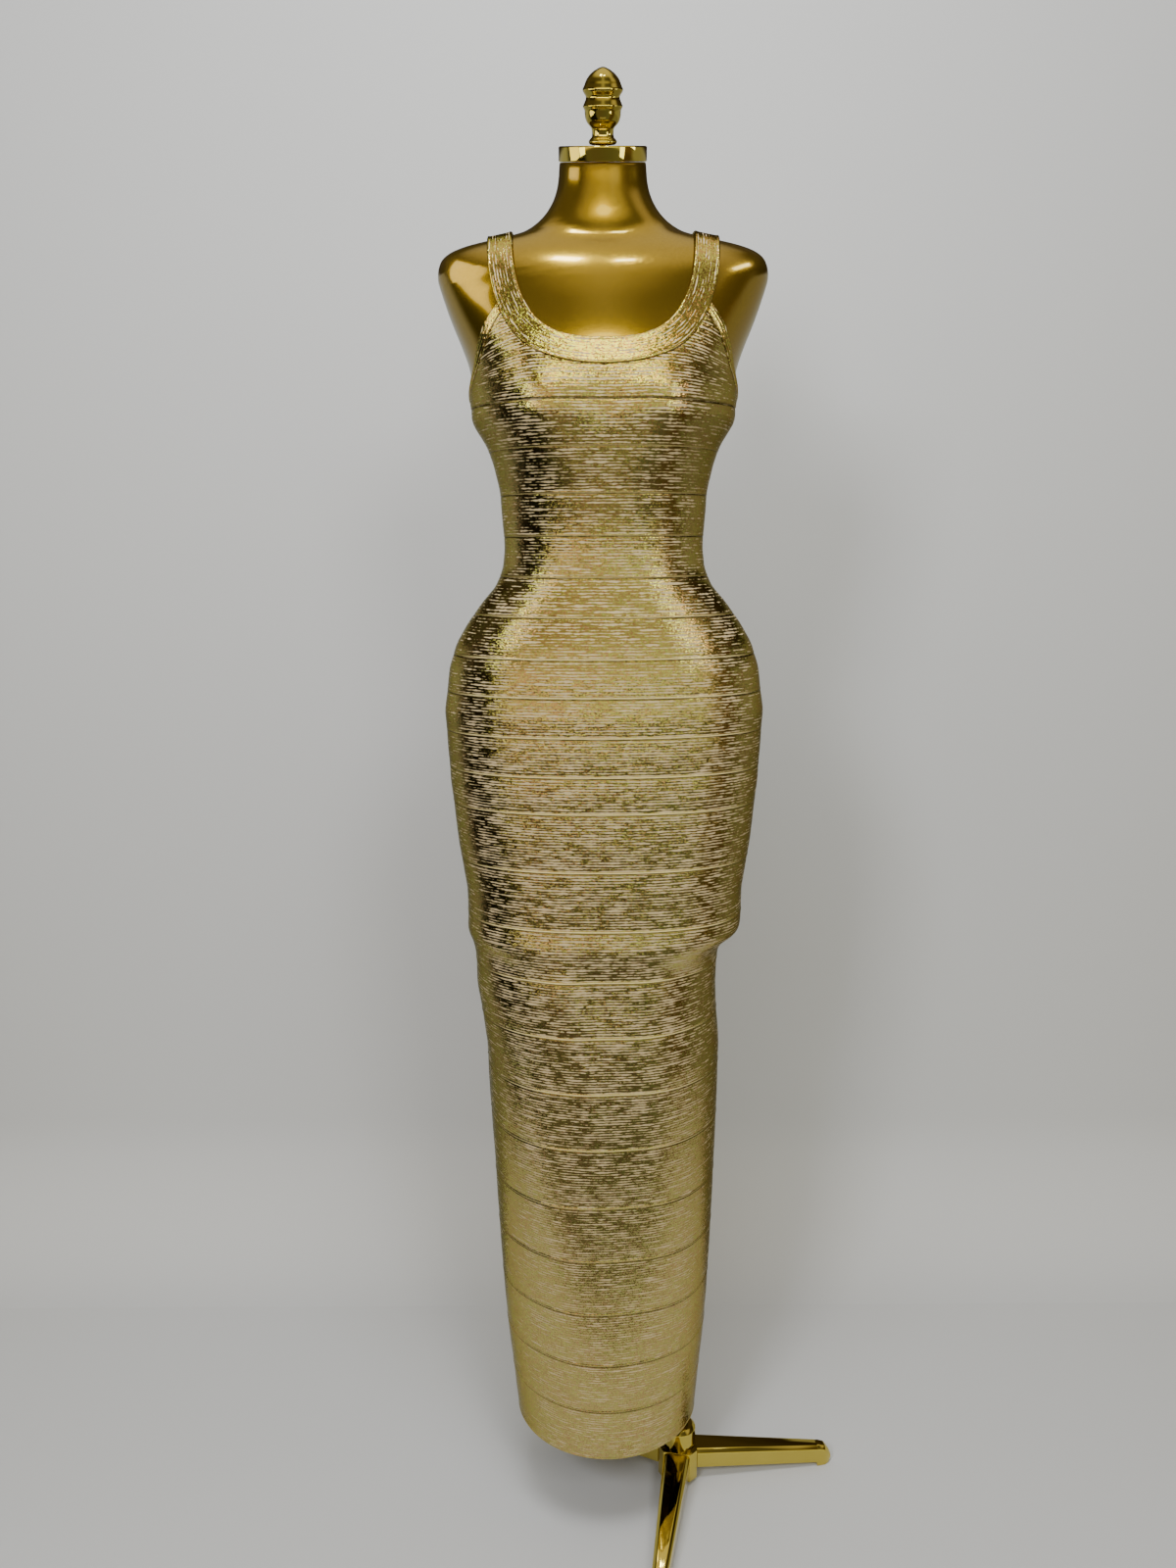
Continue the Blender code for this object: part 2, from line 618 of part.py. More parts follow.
def make_cap():
    rounding = 0.0012
    outline = [
        (0, CAP_BOTTOM), (CAP_RADIUS - rounding, CAP_BOTTOM), (CAP_RADIUS, CAP_BOTTOM + rounding),
        (CAP_RADIUS, CAP_TOP - rounding), (CAP_RADIUS - rounding, CAP_TOP), (0, CAP_TOP),
    ]
    return lean_forward(turned("neck_cap", outline, gold_plate))


def make_finial():
    foot = CAP_TOP + SEAM_GAP
    outline = [(0, foot)] + [(radius, foot + height) for height, radius in FINIAL]
    outline.append((0, foot + FINIAL_HEIGHT))
    return lean_forward(turned("finial", outline, gold_plate))


def make_socket():
    """Flange under the form's base with a blind sleeve that takes the pole."""
    bore = POLE_RADIUS + SEAM_GAP
    flange_underside = SOCKET_TOP - SOCKET_FLANGE_THICKNESS
    sleeve_end = POLE_TOP - POLE_IN_SOCKET
    outline = [
        (0, flange_underside), (bore, flange_underside), (bore, sleeve_end),
        (SOCKET_RADIUS, sleeve_end),
        (SOCKET_RADIUS, flange_underside), (SOCKET_FLANGE_RADIUS, flange_underside),
        (SOCKET_FLANGE_RADIUS, SOCKET_TOP), (0, SOCKET_TOP),
    ]
    return turned("form_socket", outline, gold_plate, at=(POLE_OFFSET, 0))


def make_pole():
    """The pole, from inside the socket down through the collar to the hub."""
    foot = HUB_TOP + SEAM_GAP
    outline = [(0, foot), (POLE_RADIUS, foot), (POLE_RADIUS, POLE_TOP), (0, POLE_TOP)]
    return turned("pole", outline, gold_plate, at=(POLE_OFFSET, 0))


def make_collar():
    """Ring round the pole's foot, chamfered at its upper edge."""
    bore = POLE_RADIUS + SEAM_GAP
    top = COLLAR_BOTTOM + COLLAR_HEIGHT
    outline = [
        (bore, COLLAR_BOTTOM), (COLLAR_RADIUS, COLLAR_BOTTOM), (COLLAR_RADIUS, top - COLLAR_CHAMFER),
        (COLLAR_RADIUS - COLLAR_CHAMFER, top), (bore, top), (bore, COLLAR_BOTTOM),
    ]
    return turned("pole_collar", outline, gold_plate, at=(POLE_OFFSET, 0))


def about_pole(heading):
    return Matrix.Translation((POLE_OFFSET, 0, 0)) @ Matrix.Rotation(math.radians(heading), 4, "Z")


def make_hub():
    """Six-sided block under the pole, with a flat for each leg."""
    bm = bmesh.new()
    flat_half = LEG_ROOT_WIDTH / 2
    corners = []
    for heading in sorted(LEG_HEADINGS.values()):
        for across in (-flat_half, flat_half):
            corner = about_pole(heading) @ Vector((HUB_REACH, across, HUB_BOTTOM))
            corners.append(bm.verts.new(corner))
    base = bm.faces.new(corners)
    raised = bmesh.ops.extrude_face_region(bm, geom=[base])
    lifted = [item for item in raised["geom"] if isinstance(item, bmesh.types.BMVert)]
    bmesh.ops.translate(bm, verts=lifted, vec=(0, 0, HUB_TOP - HUB_BOTTOM))
    bmesh.ops.recalc_face_normals(bm, faces=bm.faces)
    return add_object("stand_hub", bm, gold_plate)


def make_leg(name, heading):
    """A tapering cast leg, chamfered along its top, whose rounded tip turns down into a foot."""
    root = HUB_REACH + SEAM_GAP
    tip_start = LEG_REACH - LEG_TIP[-1][0]
    foot_start = tip_start - FOOT_LEAD
    stations = []
    for x in (root, (root + foot_start) / 2, foot_start):
        sizes = (
            (LEG_ROOT_WIDTH, LEG_TIP_WIDTH), (LEG_ROOT_TOP, LEG_TIP_TOP),
            (LEG_ROOT_UNDERSIDE, LEG_TIP_UNDERSIDE),
        )
        stations.append((x, *(np.interp(x, (root, tip_start), size) for size in sizes)))
    stations.append((foot_start + FOOT_STEP, LEG_TIP_WIDTH, LEG_TIP_TOP, 0.0))
    for along, share, drop, underside in LEG_TIP:
        stations.append((tip_start + along, LEG_TIP_WIDTH * share, LEG_TIP_TOP - drop, underside))

    bm = bmesh.new()
    rings = []
    for x, width, top, underside in stations:
        half = width / 2
        shoulder = min(LEG_SHOULDER, 0.6 * half)
        outline = [
            (half, underside), (half, top - shoulder), (half - shoulder, top),
            (shoulder - half, top), (-half, top - shoulder), (-half, underside),
        ]
        rings.append([bm.verts.new((x, across, up)) for across, up in outline])
    for ring, following in zip(rings, rings[1:]):
        for index in range(len(ring)):
            after = (index + 1) % len(ring)
            bm.faces.new((ring[index], ring[after], following[after], following[index]))
    bm.faces.new(rings[0])
    bm.faces.new(rings[-1])
    bmesh.ops.recalc_face_normals(bm, faces=bm.faces)
    bmesh.ops.transform(bm, matrix=about_pole(heading), verts=bm.verts)
    return add_object(name, bm, gold_plate)


def make_stand():
    legs = [make_leg(name, heading) for name, heading in LEG_HEADINGS.items()]
    return [make_socket(), make_pole(), make_collar(), make_hub()] + legs


# ---------------------------------------------------------------- the whole part
def put_origin_under_middle(objects):
    """Moves every mesh so that the whole box's bottom centre is the origin."""
    corners = np.array([vert.co for made in objects for vert in made.data.vertices])
    low, high = corners.min(axis=0), corners.max(axis=0)
    shift = (-(low[0] + high[0]) / 2, -(low[1] + high[1]) / 2, -low[2])
    for made in objects:
        made.data.transform(Matrix.Translation(shift))


def main():
    for old in list(bpy.data.objects):
        bpy.data.objects.remove(old, do_unlink=True)
    objects = make_bodice() + make_bands()
    objects += [make_form(), make_cap(), make_finial()]
    objects += make_stand()
    put_origin_under_middle(objects)


main()
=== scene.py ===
"""Looks of the foil bandage-knit maxi dress, its gold dress form and its stand.

The dress is sewn from level bandage strips under a bodice top, a neck band and two armhole
bindings. Every cloth piece is a thin shell on the figure that its solid was built on: the figure's
level sections are in FIGURE, and sizes are in metres about the form's upright axis.
"""

import json
import math

import bpy
import numpy as np
from mathutils import Matrix, Vector

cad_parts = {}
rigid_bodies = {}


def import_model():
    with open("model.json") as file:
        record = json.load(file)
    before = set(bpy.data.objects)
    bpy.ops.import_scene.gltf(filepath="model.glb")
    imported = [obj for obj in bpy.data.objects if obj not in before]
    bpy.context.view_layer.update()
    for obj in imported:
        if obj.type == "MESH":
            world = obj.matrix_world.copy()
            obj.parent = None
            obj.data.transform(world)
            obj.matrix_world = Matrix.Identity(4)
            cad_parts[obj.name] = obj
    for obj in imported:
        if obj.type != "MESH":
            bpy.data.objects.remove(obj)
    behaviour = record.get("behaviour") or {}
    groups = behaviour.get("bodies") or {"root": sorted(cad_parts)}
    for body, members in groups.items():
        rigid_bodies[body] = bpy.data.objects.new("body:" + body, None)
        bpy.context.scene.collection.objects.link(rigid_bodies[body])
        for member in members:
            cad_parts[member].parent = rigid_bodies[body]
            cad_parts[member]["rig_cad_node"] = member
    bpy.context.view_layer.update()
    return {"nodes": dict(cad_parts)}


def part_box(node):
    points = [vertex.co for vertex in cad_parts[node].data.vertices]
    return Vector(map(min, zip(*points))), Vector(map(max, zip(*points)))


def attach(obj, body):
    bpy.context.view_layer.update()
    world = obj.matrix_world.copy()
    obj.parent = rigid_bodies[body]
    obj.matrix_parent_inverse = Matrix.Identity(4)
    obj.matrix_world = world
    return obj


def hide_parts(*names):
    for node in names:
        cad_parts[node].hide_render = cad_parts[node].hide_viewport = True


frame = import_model()

# ---------------- sizes shared with the solids
SEAM_GAP = 0.0003
BAND_FACE = 0.0023           # from the figure to the outside of the level bands
BODICE_FACE = 0.0033
BODICE_RISE = 0.012          # over this height the bodice reaches its face
EDGE_FACE = 0.0037           # neck band and bindings
CLOTH_THICKNESS = 0.0015

TOP_SEAM = 1.3645
NARROW_BANDS = (0.0457, 0.0474, 0.0446, 0.0447, 0.0427, 0.0445, 0.0413, 0.0436, 0.0433, 0.0411)
WIDE_BANDS = (0.0660, 0.0682, 0.0592, 0.0657, 0.0670, 0.0693, 0.0743, 0.0692, 0.0703, 0.0684,
              0.0636, 0.0658)
NECK_BAND_WIDTH = 0.027
NECK_HALF_WIDTH = 0.0895
STRAP_HALF_SPACING = 0.0965
FRONT_SCOOP_HEIGHT = 1.4255
BACK_SCOOP_HEIGHT = 1.4560
SCOOP_SQUARENESS = 3.0
STRAP_CREST = 0.004
STRAP_START_RISE = 0.0405
BINDING_END = 0.010
BINDING_TIP_GAP = 0.001
BINDING_WIDTH = 0.007
ARMHOLE_TOP = 1.450
ARMHOLE_DROP = 0.0715
ARMHOLE_FRONT = 0.0705
ARMHOLE_BACK = 0.0760
ARMHOLE_SQUARENESS = 1.6
ARMHOLE_TURNS = (9, 87, 1.5)    # degrees: first, past the last, step
FORM_BASE = 0.770
SHOULDER_START = 1.494
NECK_TOP = 1.622
NECK_LEAN = math.radians(16.4)    # the cap and the finial face this much forward
CAP_THICKNESS = 0.0150
SIDE_RADIUS = 0.1            # of the figure's turn, for the gap at the bodice's side seams
BUST_RISE = 0.013
BUST_SPREAD = 0.068
BUST_HALF_WIDTH = 0.045
BUST_HEIGHT = 1.362
BUST_HALF_HEIGHT = 0.052
BLENDING = 0.005

# ---------------- ribs and seams
RIB_PITCH = 0.0032
RIB_HEIGHT = 0.00004         # from a rib's middle to its crest
NECK_BAND_RIBS = 9
NECK_BAND_RIB_SHARE = 0.6    # of the strips' rib height
BINDING_RIB = 0.0023
BINDING_RIB_HEIGHT = 0.00025
BINDING_CROWN = 0.0006
BINDING_SINK = 0.0004
RIB_FALL = 4.2               # how fast the bodice's ribs fall towards the sides
RIB_FALL_START = 0.070
RIB_FALL_RISE = 0.055
SHELL_GAP = 0.0001           # between two strips' shells at a seam
LAP_WIDTH = 0.0024           # each strip laps out over the next one down, steeper lower down
LAP_SLOPE = math.tan(math.radians(10))
LAP_SLOPE_GROWTH = 0.209
LAP_GROWTH_HEIGHTS = (1.20, 0.70)
STRIP_BELLY = 0.00045        # a strip bellies a little between its two firm seams
RIDGE_FADE = (0.0010, 0.0019)
TUCK_SHADOW_FADE = (0.0006, 0.0013)
# relief along the seams: how far out, how far from the seam, half width
LOWER_GROOVE = (-0.00060, 0.0, 0.00045)
UPPER_GROOVE = (-0.00035, 0.0, 0.0010)
BODICE_GROOVE = (-0.0006, 0.0, 0.0010)
NECK_DIP = (-0.0009, 0.0, 0.0016)    # the bodice's edges dip under the neck band and the bindings
ARM_DIP = (-0.0006, 0.0, 0.0016)
SHOULDER_RIDGE = (0.0005, 0.0022, 0.0012)
NECK_BAND_RELIEF = (
    (0.00045, 0.0016, 0.0012), (-0.0010, 0.0, 0.0005),
    (0.0003, NECK_BAND_WIDTH - 0.0018, 0.0012), (-0.0007, NECK_BAND_WIDTH, 0.0006))

# ---------------- finishes
FOIL_COLOUR = (0.50, 0.405, 0.14)
FOIL_EDGE = (0.52, 0.49, 0.38)
BAND_FOIL_COLOUR = (0.70, 0.57, 0.17)    # the neck band's foil is less rubbed
FOIL_ROUGHNESS = 0.15
# painted highlight along the seams' edges
SEAM_HIGHLIGHT_COLOUR = (0.95, 0.80, 0.40)
# painted shadow in the tuck under each strip's lap
TUCK_SHADOW_COLOUR = (0.05, 0.034, 0.010)
KNIT_COLOUR = (0.53, 0.42, 0.25)
KNIT_SHADE = (0.42, 0.33, 0.195)
KNIT_ROUGHNESS = 0.45        # over the foil's
WORN_BY_RIB = 3.4            # how much the bare knit's width varies from rib to rib and along them
WORN_IN_PATCHES = 0.5
WORN_IN_SPECKS = 1.5
WORN_ON_EDGES = -0.22        # the neck band and the bindings against the strips
# whole foil at the sides is partly wear and partly painted shade: less bright knit shows there
WHOLE_AT_SIDES = 0.35
WHOLE_ON_RIDGES = 1.2
PAINT_SHADE = (0.33, 0.212, 0.007)
PAINT_COLOUR = (0.41, 0.272, 0.012)
FLAKE_COLOUR = (0.70, 0.48, 0.08)
PAINT_ROUGHNESS = 0.17
PLATE_SHADE = (0.60, 0.475, 0.08)
PLATE_COLOUR = (0.68, 0.55, 0.12)
PATTERN_STEP = 1.7           # from each strip's pattern to the next one's, around the strip
# by height: how worn the foil is, how strong the painted highlight on the seams' edges is and how dark
# the painted shadow in their tucks is
WORN_SHARES = ((0.10, 0.06), (0.35, 0.12), (0.60, 0.28), (0.95, 0.30), (1.10, 0.17), (1.22, 0.18),
               (1.38, 0.18))
# by height: how strong the painted highlight on the seams' edges is
SEAM_HIGHLIGHT_SHARES = ((0.20, 0.10), (0.45, 0.45), (0.60, 1.0), (1.08, 1.0), (1.16, 0.45), (1.36, 0.30))
# by height: how dark the painted shadow in the seams' tucks is
TUCK_SHADOW_SHARES = ((1.26, 0.80), (1.34, 0.40))
SHARES_TOP = 1.6

# ---------------- how finely things are cut up
ROWS_PER_RIB = 4
ROWS_AT_SEAMS = (0.0003, 0.0004)    # one more row close to a strip's lower and upper seam
BAND_COLUMNS = 120
SCOOP_SPANS = 64
STRAP_SPANS = 22
ARMHOLE_SPANS = 40
BODICE_SPANS = 44            # from the middle out to the armhole
BODICE_EDGE_SPANS = 120
BINDING_ROWS = 13
NECK_BAND_STEPS = 48
FINE_SPANS = 400
CAP_SIDES = 96
TUBE_SIDES = 64

# ---------------- the metal's rounded edges
METAL_ROUND = 0.0004
HUB_ROUND = 0.0005
LEG_ROUND = 0.0009

# ---------------- folds
# where the form's base presses the cloth out or lets it in: how far, x, half width, height, rise
# of the height with x, half height
BASE_FOLDS = (
    (0.0016, -0.150, 0.030, 0.772, 0.25, 0.012),
    (0.0016, 0.150, 0.032, 0.776, -0.30, 0.014),
    (-0.0010, 0.110, 0.035, 0.744, 0.35, 0.014),
    (-0.0054, 0.152, 0.034, 0.754, 0.0, 0.014),
    (-0.0018, -0.128, 0.030, 0.752, -0.30, 0.012),
)
# soft hollows and swellings of the skirt's front below the base: how far, x and height, each with
# its half width
SKIRT_DENTS = (
    (-0.0022, 0.012, 0.030, 0.722, 0.045),
    (0.0018, -0.052, 0.030, 0.715, 0.050),
)
SLACK_TOP = (-0.01, 0.06)    # below the base, where the strips' own stiffness holds them out
SLACK_HEM = (0.12, 0.30)
# waves of the slack: how far, their run with x and with height, and the shift from front to back
SLACK_WAVES = ((0.0016, 46, 7, 1.0), (0.0010, 23, -11, 2.0))
SLACK_SIDES = (0.11, 0.06)   # how far behind and before the middle the first waves lie
LONG_FOLD = 0.0036           # down the front of the skirt from the left of the base
LONG_FOLD_HALF_WIDTH = 0.026
LONG_FOLD_TOP = (-0.047, 0.73)
LONG_FOLD_LEAN = 0.19
LONG_FOLD_START = (-0.01, 0.05)
LONG_FOLD_END = (0.40, 0.60)

# height, sway, half width, front depth, back depth, squareness
FIGURE = np.array([
    (0.118, 0.0015, 0.1125, 0.1125, 0.1135, 2.00),
    (0.240, 0.0005, 0.1235, 0.1150, 0.1165, 2.05),
    (0.390, 0.0, 0.1312, 0.1170, 0.1200, 2.10),
    (0.540, -0.0010, 0.1380, 0.1180, 0.1215, 2.20),
    (0.620, -0.0020, 0.1402, 0.1175, 0.1210, 2.30),
    (0.668, -0.0068, 0.1412, 0.1165, 0.1205, 2.30),
    (0.700, -0.0100, 0.1423, 0.1150, 0.1195, 2.35),
    (0.732, -0.0095, 0.1430, 0.1140, 0.1180, 2.35),
    (0.745, -0.0080, 0.1460, 0.1140, 0.1180, 2.35),
    (0.768, -0.0010, 0.1590, 0.1150, 0.1180, 2.45),
    (0.790, 0.0, 0.1610, 0.1125, 0.1165, 2.45),
    (0.820, 0.0, 0.1612, 0.1115, 0.1170, 2.45),
    (0.870, 0.0, 0.1695, 0.1110, 0.1195, 2.40),
    (0.950, 0.0, 0.1778, 0.1100, 0.1250, 2.35),
    (1.030, 0.0, 0.1825, 0.1090, 0.1260, 2.30),
    (1.080, 0.0, 0.1758, 0.1055, 0.1190, 2.30),
    (1.105, 0.0, 0.1680, 0.1025, 0.1110, 2.25),
    (1.130, 0.0, 0.1535, 0.0985, 0.1020, 2.20),
    (1.150, 0.0, 0.1390, 0.0950, 0.0940, 2.20),
    (1.170, 0.0, 0.1215, 0.0920, 0.0880, 2.15),
    (1.192, 0.0, 0.1125, 0.0900, 0.0840, 2.10),
    (1.213, 0.0, 0.1100, 0.0895, 0.0825, 2.10),
    (1.245, 0.0, 0.1120, 0.0920, 0.0850, 2.10),
    (1.280, 0.0, 0.1148, 0.0985, 0.0905, 2.10),
    (1.305, 0.0, 0.1205, 0.1050, 0.0945, 2.15),
    (1.328, 0.0, 0.1290, 0.1095, 0.0985, 2.20),
    (1.352, 0.0, 0.1438, 0.1115, 0.1010, 2.25),
    (1.380, 0.0, 0.1452, 0.1110, 0.1035, 2.30),
    (1.404, 0.0, 0.1458, 0.1090, 0.1050, 2.30),
    (1.430, 0.0, 0.1555, 0.1050, 0.1050, 2.25),
    (1.453, 0.0, 0.1655, 0.0990, 0.1030, 2.20),
    (1.478, 0.0, 0.1745, 0.0900, 0.0980, 2.20),
    (1.502, 0.0, 0.1818, 0.0785, 0.0880, 2.20),
    (1.514, 0.0, 0.1806, 0.0710, 0.0800, 2.20),
    (1.526, 0.0, 0.1750, 0.0615, 0.0690, 2.15),
    (1.534, 0.0, 0.1580, 0.0540, 0.0610, 2.10),
    (1.540, 0.0, 0.1300, 0.0500, 0.0570, 2.10),
    (1.5435, 0.0, 0.1010, 0.0485, 0.0555, 2.05),
    (1.550, 0.0, 0.0850, 0.0470, 0.0540, 2.05),
    (1.562, 0.0, 0.0680, 0.0465, 0.0520, 2.00),
    (1.573, 0.0, 0.0585, 0.0462, 0.0508, 2.00),
    (1.586, 0.0, 0.0516, 0.0461, 0.0498, 2.00),
    (1.600, 0.0, 0.0478, 0.0462, 0.0486, 2.00),
    (1.622, 0.0, 0.0470, 0.0465, 0.0480, 2.00),
])


def middle(node):
    low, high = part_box(node)
    return (low + high) / 2


# the neck's lean carries the cap's middle forward from the form's axis
CAP_SHIFT = (SEAM_GAP + CAP_THICKNESS / 2) * math.sin(NECK_LEAN)
FORM_AXIS = np.array([middle("neck_cap").x, middle("neck_cap").y + CAP_SHIFT, 0.0])
FORM_CENTRE = (FORM_AXIS[0], FORM_AXIS[1])
POLE_AXIS = (middle("pole").x, middle("pole").y)


# ---------------- the figure
def section(height):
    """Sway, half width, front depth, back depth and squareness of the figure at each height."""
    window = np.linspace(-BLENDING, BLENDING, 7)
    heights = np.asarray(height, float)[..., None] + window
    return [np.interp(heights, FIGURE[:, 0], FIGURE[:, k]).mean(axis=-1) for k in range(1, 6)]


def bust(x, z):
    across = (np.abs(x) - BUST_SPREAD) / BUST_HALF_WIDTH
    up = (z - BUST_HEIGHT) / BUST_HALF_HEIGHT
    return BUST_RISE * np.exp(-across ** 2 - up ** 2)


def depth(x, z, in_front):
    _, _, front, back, _ = section(z)
    return np.where(in_front, front + bust(x, z), back)


def figure_points(turn, height):
    """Points of the figure: turn 0 is at +X, a quarter turn is at the back."""
    sway, half_width, _, _, power = section(height)
    reach = (np.abs(np.cos(turn)) ** power + np.abs(np.sin(turn)) ** power) ** (-1 / power)
    x = half_width * reach * np.cos(turn)
    y = depth(x, height, np.sin(turn) < 0) * reach * np.sin(turn)
    return np.stack([sway + x, y, height + 0 * x], axis=-1)


def turns_of(points, side):
    """The turns round the figure of points on its front (side -1) or its back (1)."""
    sway, half_width = section(points[..., 2])[:2]
    x = points[..., 0] - sway
    along = np.abs(points[..., 1]) / depth(x, points[..., 2], side < 0)
    return side * np.arctan2(along, x / half_width)


def figure_field(points):
    """Below 0 inside the figure, 0 on it and above 0 outside."""
    y, z = points[..., 1], points[..., 2]
    sway, half_width, _, _, power = section(z)
    x = points[..., 0] - sway
    across = np.abs(x / half_width) ** power
    along = np.abs(y / depth(x, z, y < 0)) ** power
    return (across + along) ** (1 / power) - 1


def field_slope(points):
    step = 0.0002
    moves = np.eye(3) * step
    rises = [figure_field(points + move) - figure_field(points - move) for move in moves]
    return np.stack(rises, axis=-1) / (2 * step)


def figure_normals(points):
    slope = field_slope(points)
    return slope / np.linalg.norm(slope, axis=-1, keepdims=True)


def onto_figure(points):
    """Points moved to the figure's surface, straight across it."""
    points = np.array(points, float)
    for _ in range(8):     # each round comes closer
        slope = field_slope(points)
        points -= (figure_field(points) / (slope ** 2).sum(axis=-1))[..., None] * slope
    return points


def run_lengths(line):
    return np.concatenate([[0], np.cumsum(np.linalg.norm(np.diff(line, axis=0), axis=1))])


def at_stations(line, stations):
    """Points on the figure at these lengths along a line."""
    lengths = run_lengths(line)
    picked = [np.interp(stations, lengths, line[:, axis]) for axis in range(3)]
    return onto_figure(np.column_stack(picked))


def sideways(line, distance, steps):
    """A closed line moved across the figure away from the neck, with each step on the way."""
    moved = np.array(line)
    passed = [moved]
    for _ in range(steps):
        along = np.roll(moved, -1, axis=0) - np.roll(moved, 1, axis=0)
        across = np.cross(along, figure_normals(moved))
        across /= np.linalg.norm(across, axis=1, keepdims=True)
        moved = onto_figure(moved + across * distance / steps)
        passed.append(moved)
    return passed


def half_neckline(scoop_height, side):
    """The opening's edge from the middle of a scoop up to the shoulder, on the side of +X."""
    slope = np.linspace(SHOULDER_START, NECK_TOP, FINE_SPANS)
    slope = slope[np.argmax(section(slope)[1]):]
    shoulder = np.interp(-STRAP_HALF_SPACING, -section(slope)[1], slope)
    drop = shoulder - STRAP_CREST - scoop_height
    turn = np.linspace(0, math.pi / 2, FINE_SPANS)[:-1]
    down = np.cos(turn) ** (2 / SCOOP_SQUARENESS)
    half = NECK_HALF_WIDTH + (STRAP_HALF_SPACING - NECK_HALF_WIDTH) * (1 - down)
    x = half * np.sin(turn) ** (2 / SCOOP_SQUARENESS)
    z = scoop_height + drop * (1 - down)
    _, half_width, _, _, power = section(z)
    inside = np.clip(1 - (x / half_width) ** power, 0, None) ** (1 / power)
    y = side * depth(x, z, side < 0) * inside
    line = onto_figure(np.vstack([np.column_stack([x, y, z]), (STRAP_HALF_SPACING, 0, shoulder)]))
    line[-1, 1] = 0
    lengths = run_lengths(line)
    strap_start = np.interp(scoop_height + STRAP_START_RISE, line[:, 2], lengths)
    stations = np.concatenate([
        np.linspace(0, strap_start, SCOOP_SPANS // 2 + 1),
        np.linspace(strap_start + BINDING_END, lengths[-1], STRAP_SPANS),
    ])
    return at_stations(line, stations)


MIRROR = np.array([-1, 1, 1])


def neckline():
    front = half_neckline(FRONT_SCOOP_HEIGHT, -1)
    back = half_neckline(BACK_SCOOP_HEIGHT, 1)
    front_run = np.vstack([(front * MIRROR)[:0:-1], front])
    back_run = np.vstack([back[::-1], (back * MIRROR)[1:]])
    return np.vstack([front_run, back_run[1:-1]])


def armhole_run(side, start, end, margin, spans=ARMHOLE_SPANS):
    """Half of an armhole's line, a margin outside its edge: from start, at the strap, to end."""
    reach = (ARMHOLE_FRONT if side < 0 else ARMHOLE_BACK) + margin
    drop = ARMHOLE_DROP + margin
    turn = np.radians(np.arange(*ARMHOLE_TURNS))
    y = side * reach * np.cos(turn) ** (2 / ARMHOLE_SQUARENESS)
    z = ARMHOLE_TOP - drop * np.sin(turn) ** (2 / ARMHOLE_SQUARENESS)
    _, half_width, front, back, power = section(z)
    inside = np.clip(1 - np.abs(y / (front if side < 0 else back)) ** power, 0, None)
    x = half_width * inside ** (1 / power)
    line = onto_figure(np.vstack([start, np.column_stack([x, y, z]), end]))
    run = at_stations(line, np.linspace(0, run_lengths(line)[-1], spans + 1))
    run[0], run[-1] = start, end
    return run


def armhole_low(margin):
    """The lowest point of an armhole's line, a margin outside its edge."""
    height = ARMHOLE_TOP - ARMHOLE_DROP - margin
    return np.array([float(section(height)[1]), 0.0, height])


# ---------------- small helpers
def select_only(piece):
    bpy.ops.object.select_all(action="DESELECT")
    piece.select_set(True)
    bpy.context.view_layer.objects.active = piece


def finish_piece(piece, finish, solid):
    """Gives a piece its finish and puts it in the place of its solid."""
    piece.data.materials.clear()
    piece.data.materials.append(finish)
    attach(piece, "root")
    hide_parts(solid)


def mesh_piece(name, points, faces, uvs=None, ridge=None):
    """A named piece from points, quads of point numbers and corner UVs.

    ridge says how far each point is on a seam's ridge (1), which gets a painted highlight, or in its tuck
    (-1), which gets a painted shadow.
    """
    mesh = bpy.data.meshes.new(name)
    faces = np.asarray(faces, np.int32)
    count = len(faces)
    mesh.vertices.add(len(points))
    mesh.vertices.foreach_set("co", np.asarray(points, np.float32).ravel())
    mesh.loops.add(4 * count)
    mesh.loops.foreach_set("vertex_index", faces.ravel())
    mesh.polygons.add(count)
    mesh.polygons.foreach_set("loop_start", np.arange(0, 4 * count, 4, dtype=np.int32))
    mesh.update(calc_edges=True)
    if uvs is not None:
        layer = mesh.uv_layers.new(name="knit")
        layer.uv.foreach_set("vector", np.asarray(uvs, np.float32).ravel())
    if ridge is not None:
        mesh.attributes.new("ridge", "FLOAT", "POINT").data.foreach_set("value", ridge.astype(np.float32))
    mesh.validate()
    mesh.shade_smooth()
    piece = bpy.data.objects.new(name, mesh)
    bpy.context.scene.collection.objects.link(piece)
    return piece


# ---------------- level bands
def smooth_step(value, start, end):
    share = np.clip((value - start) / (end - start), 0, 1)
    return share * share * (3 - 2 * share)


def near(value, centre, spread):
    return np.exp(-((value - centre) / spread) ** 2)


def relief(value, *bumps):
    return sum(far * near(value, centre, spread) for far, centre, spread in bumps)


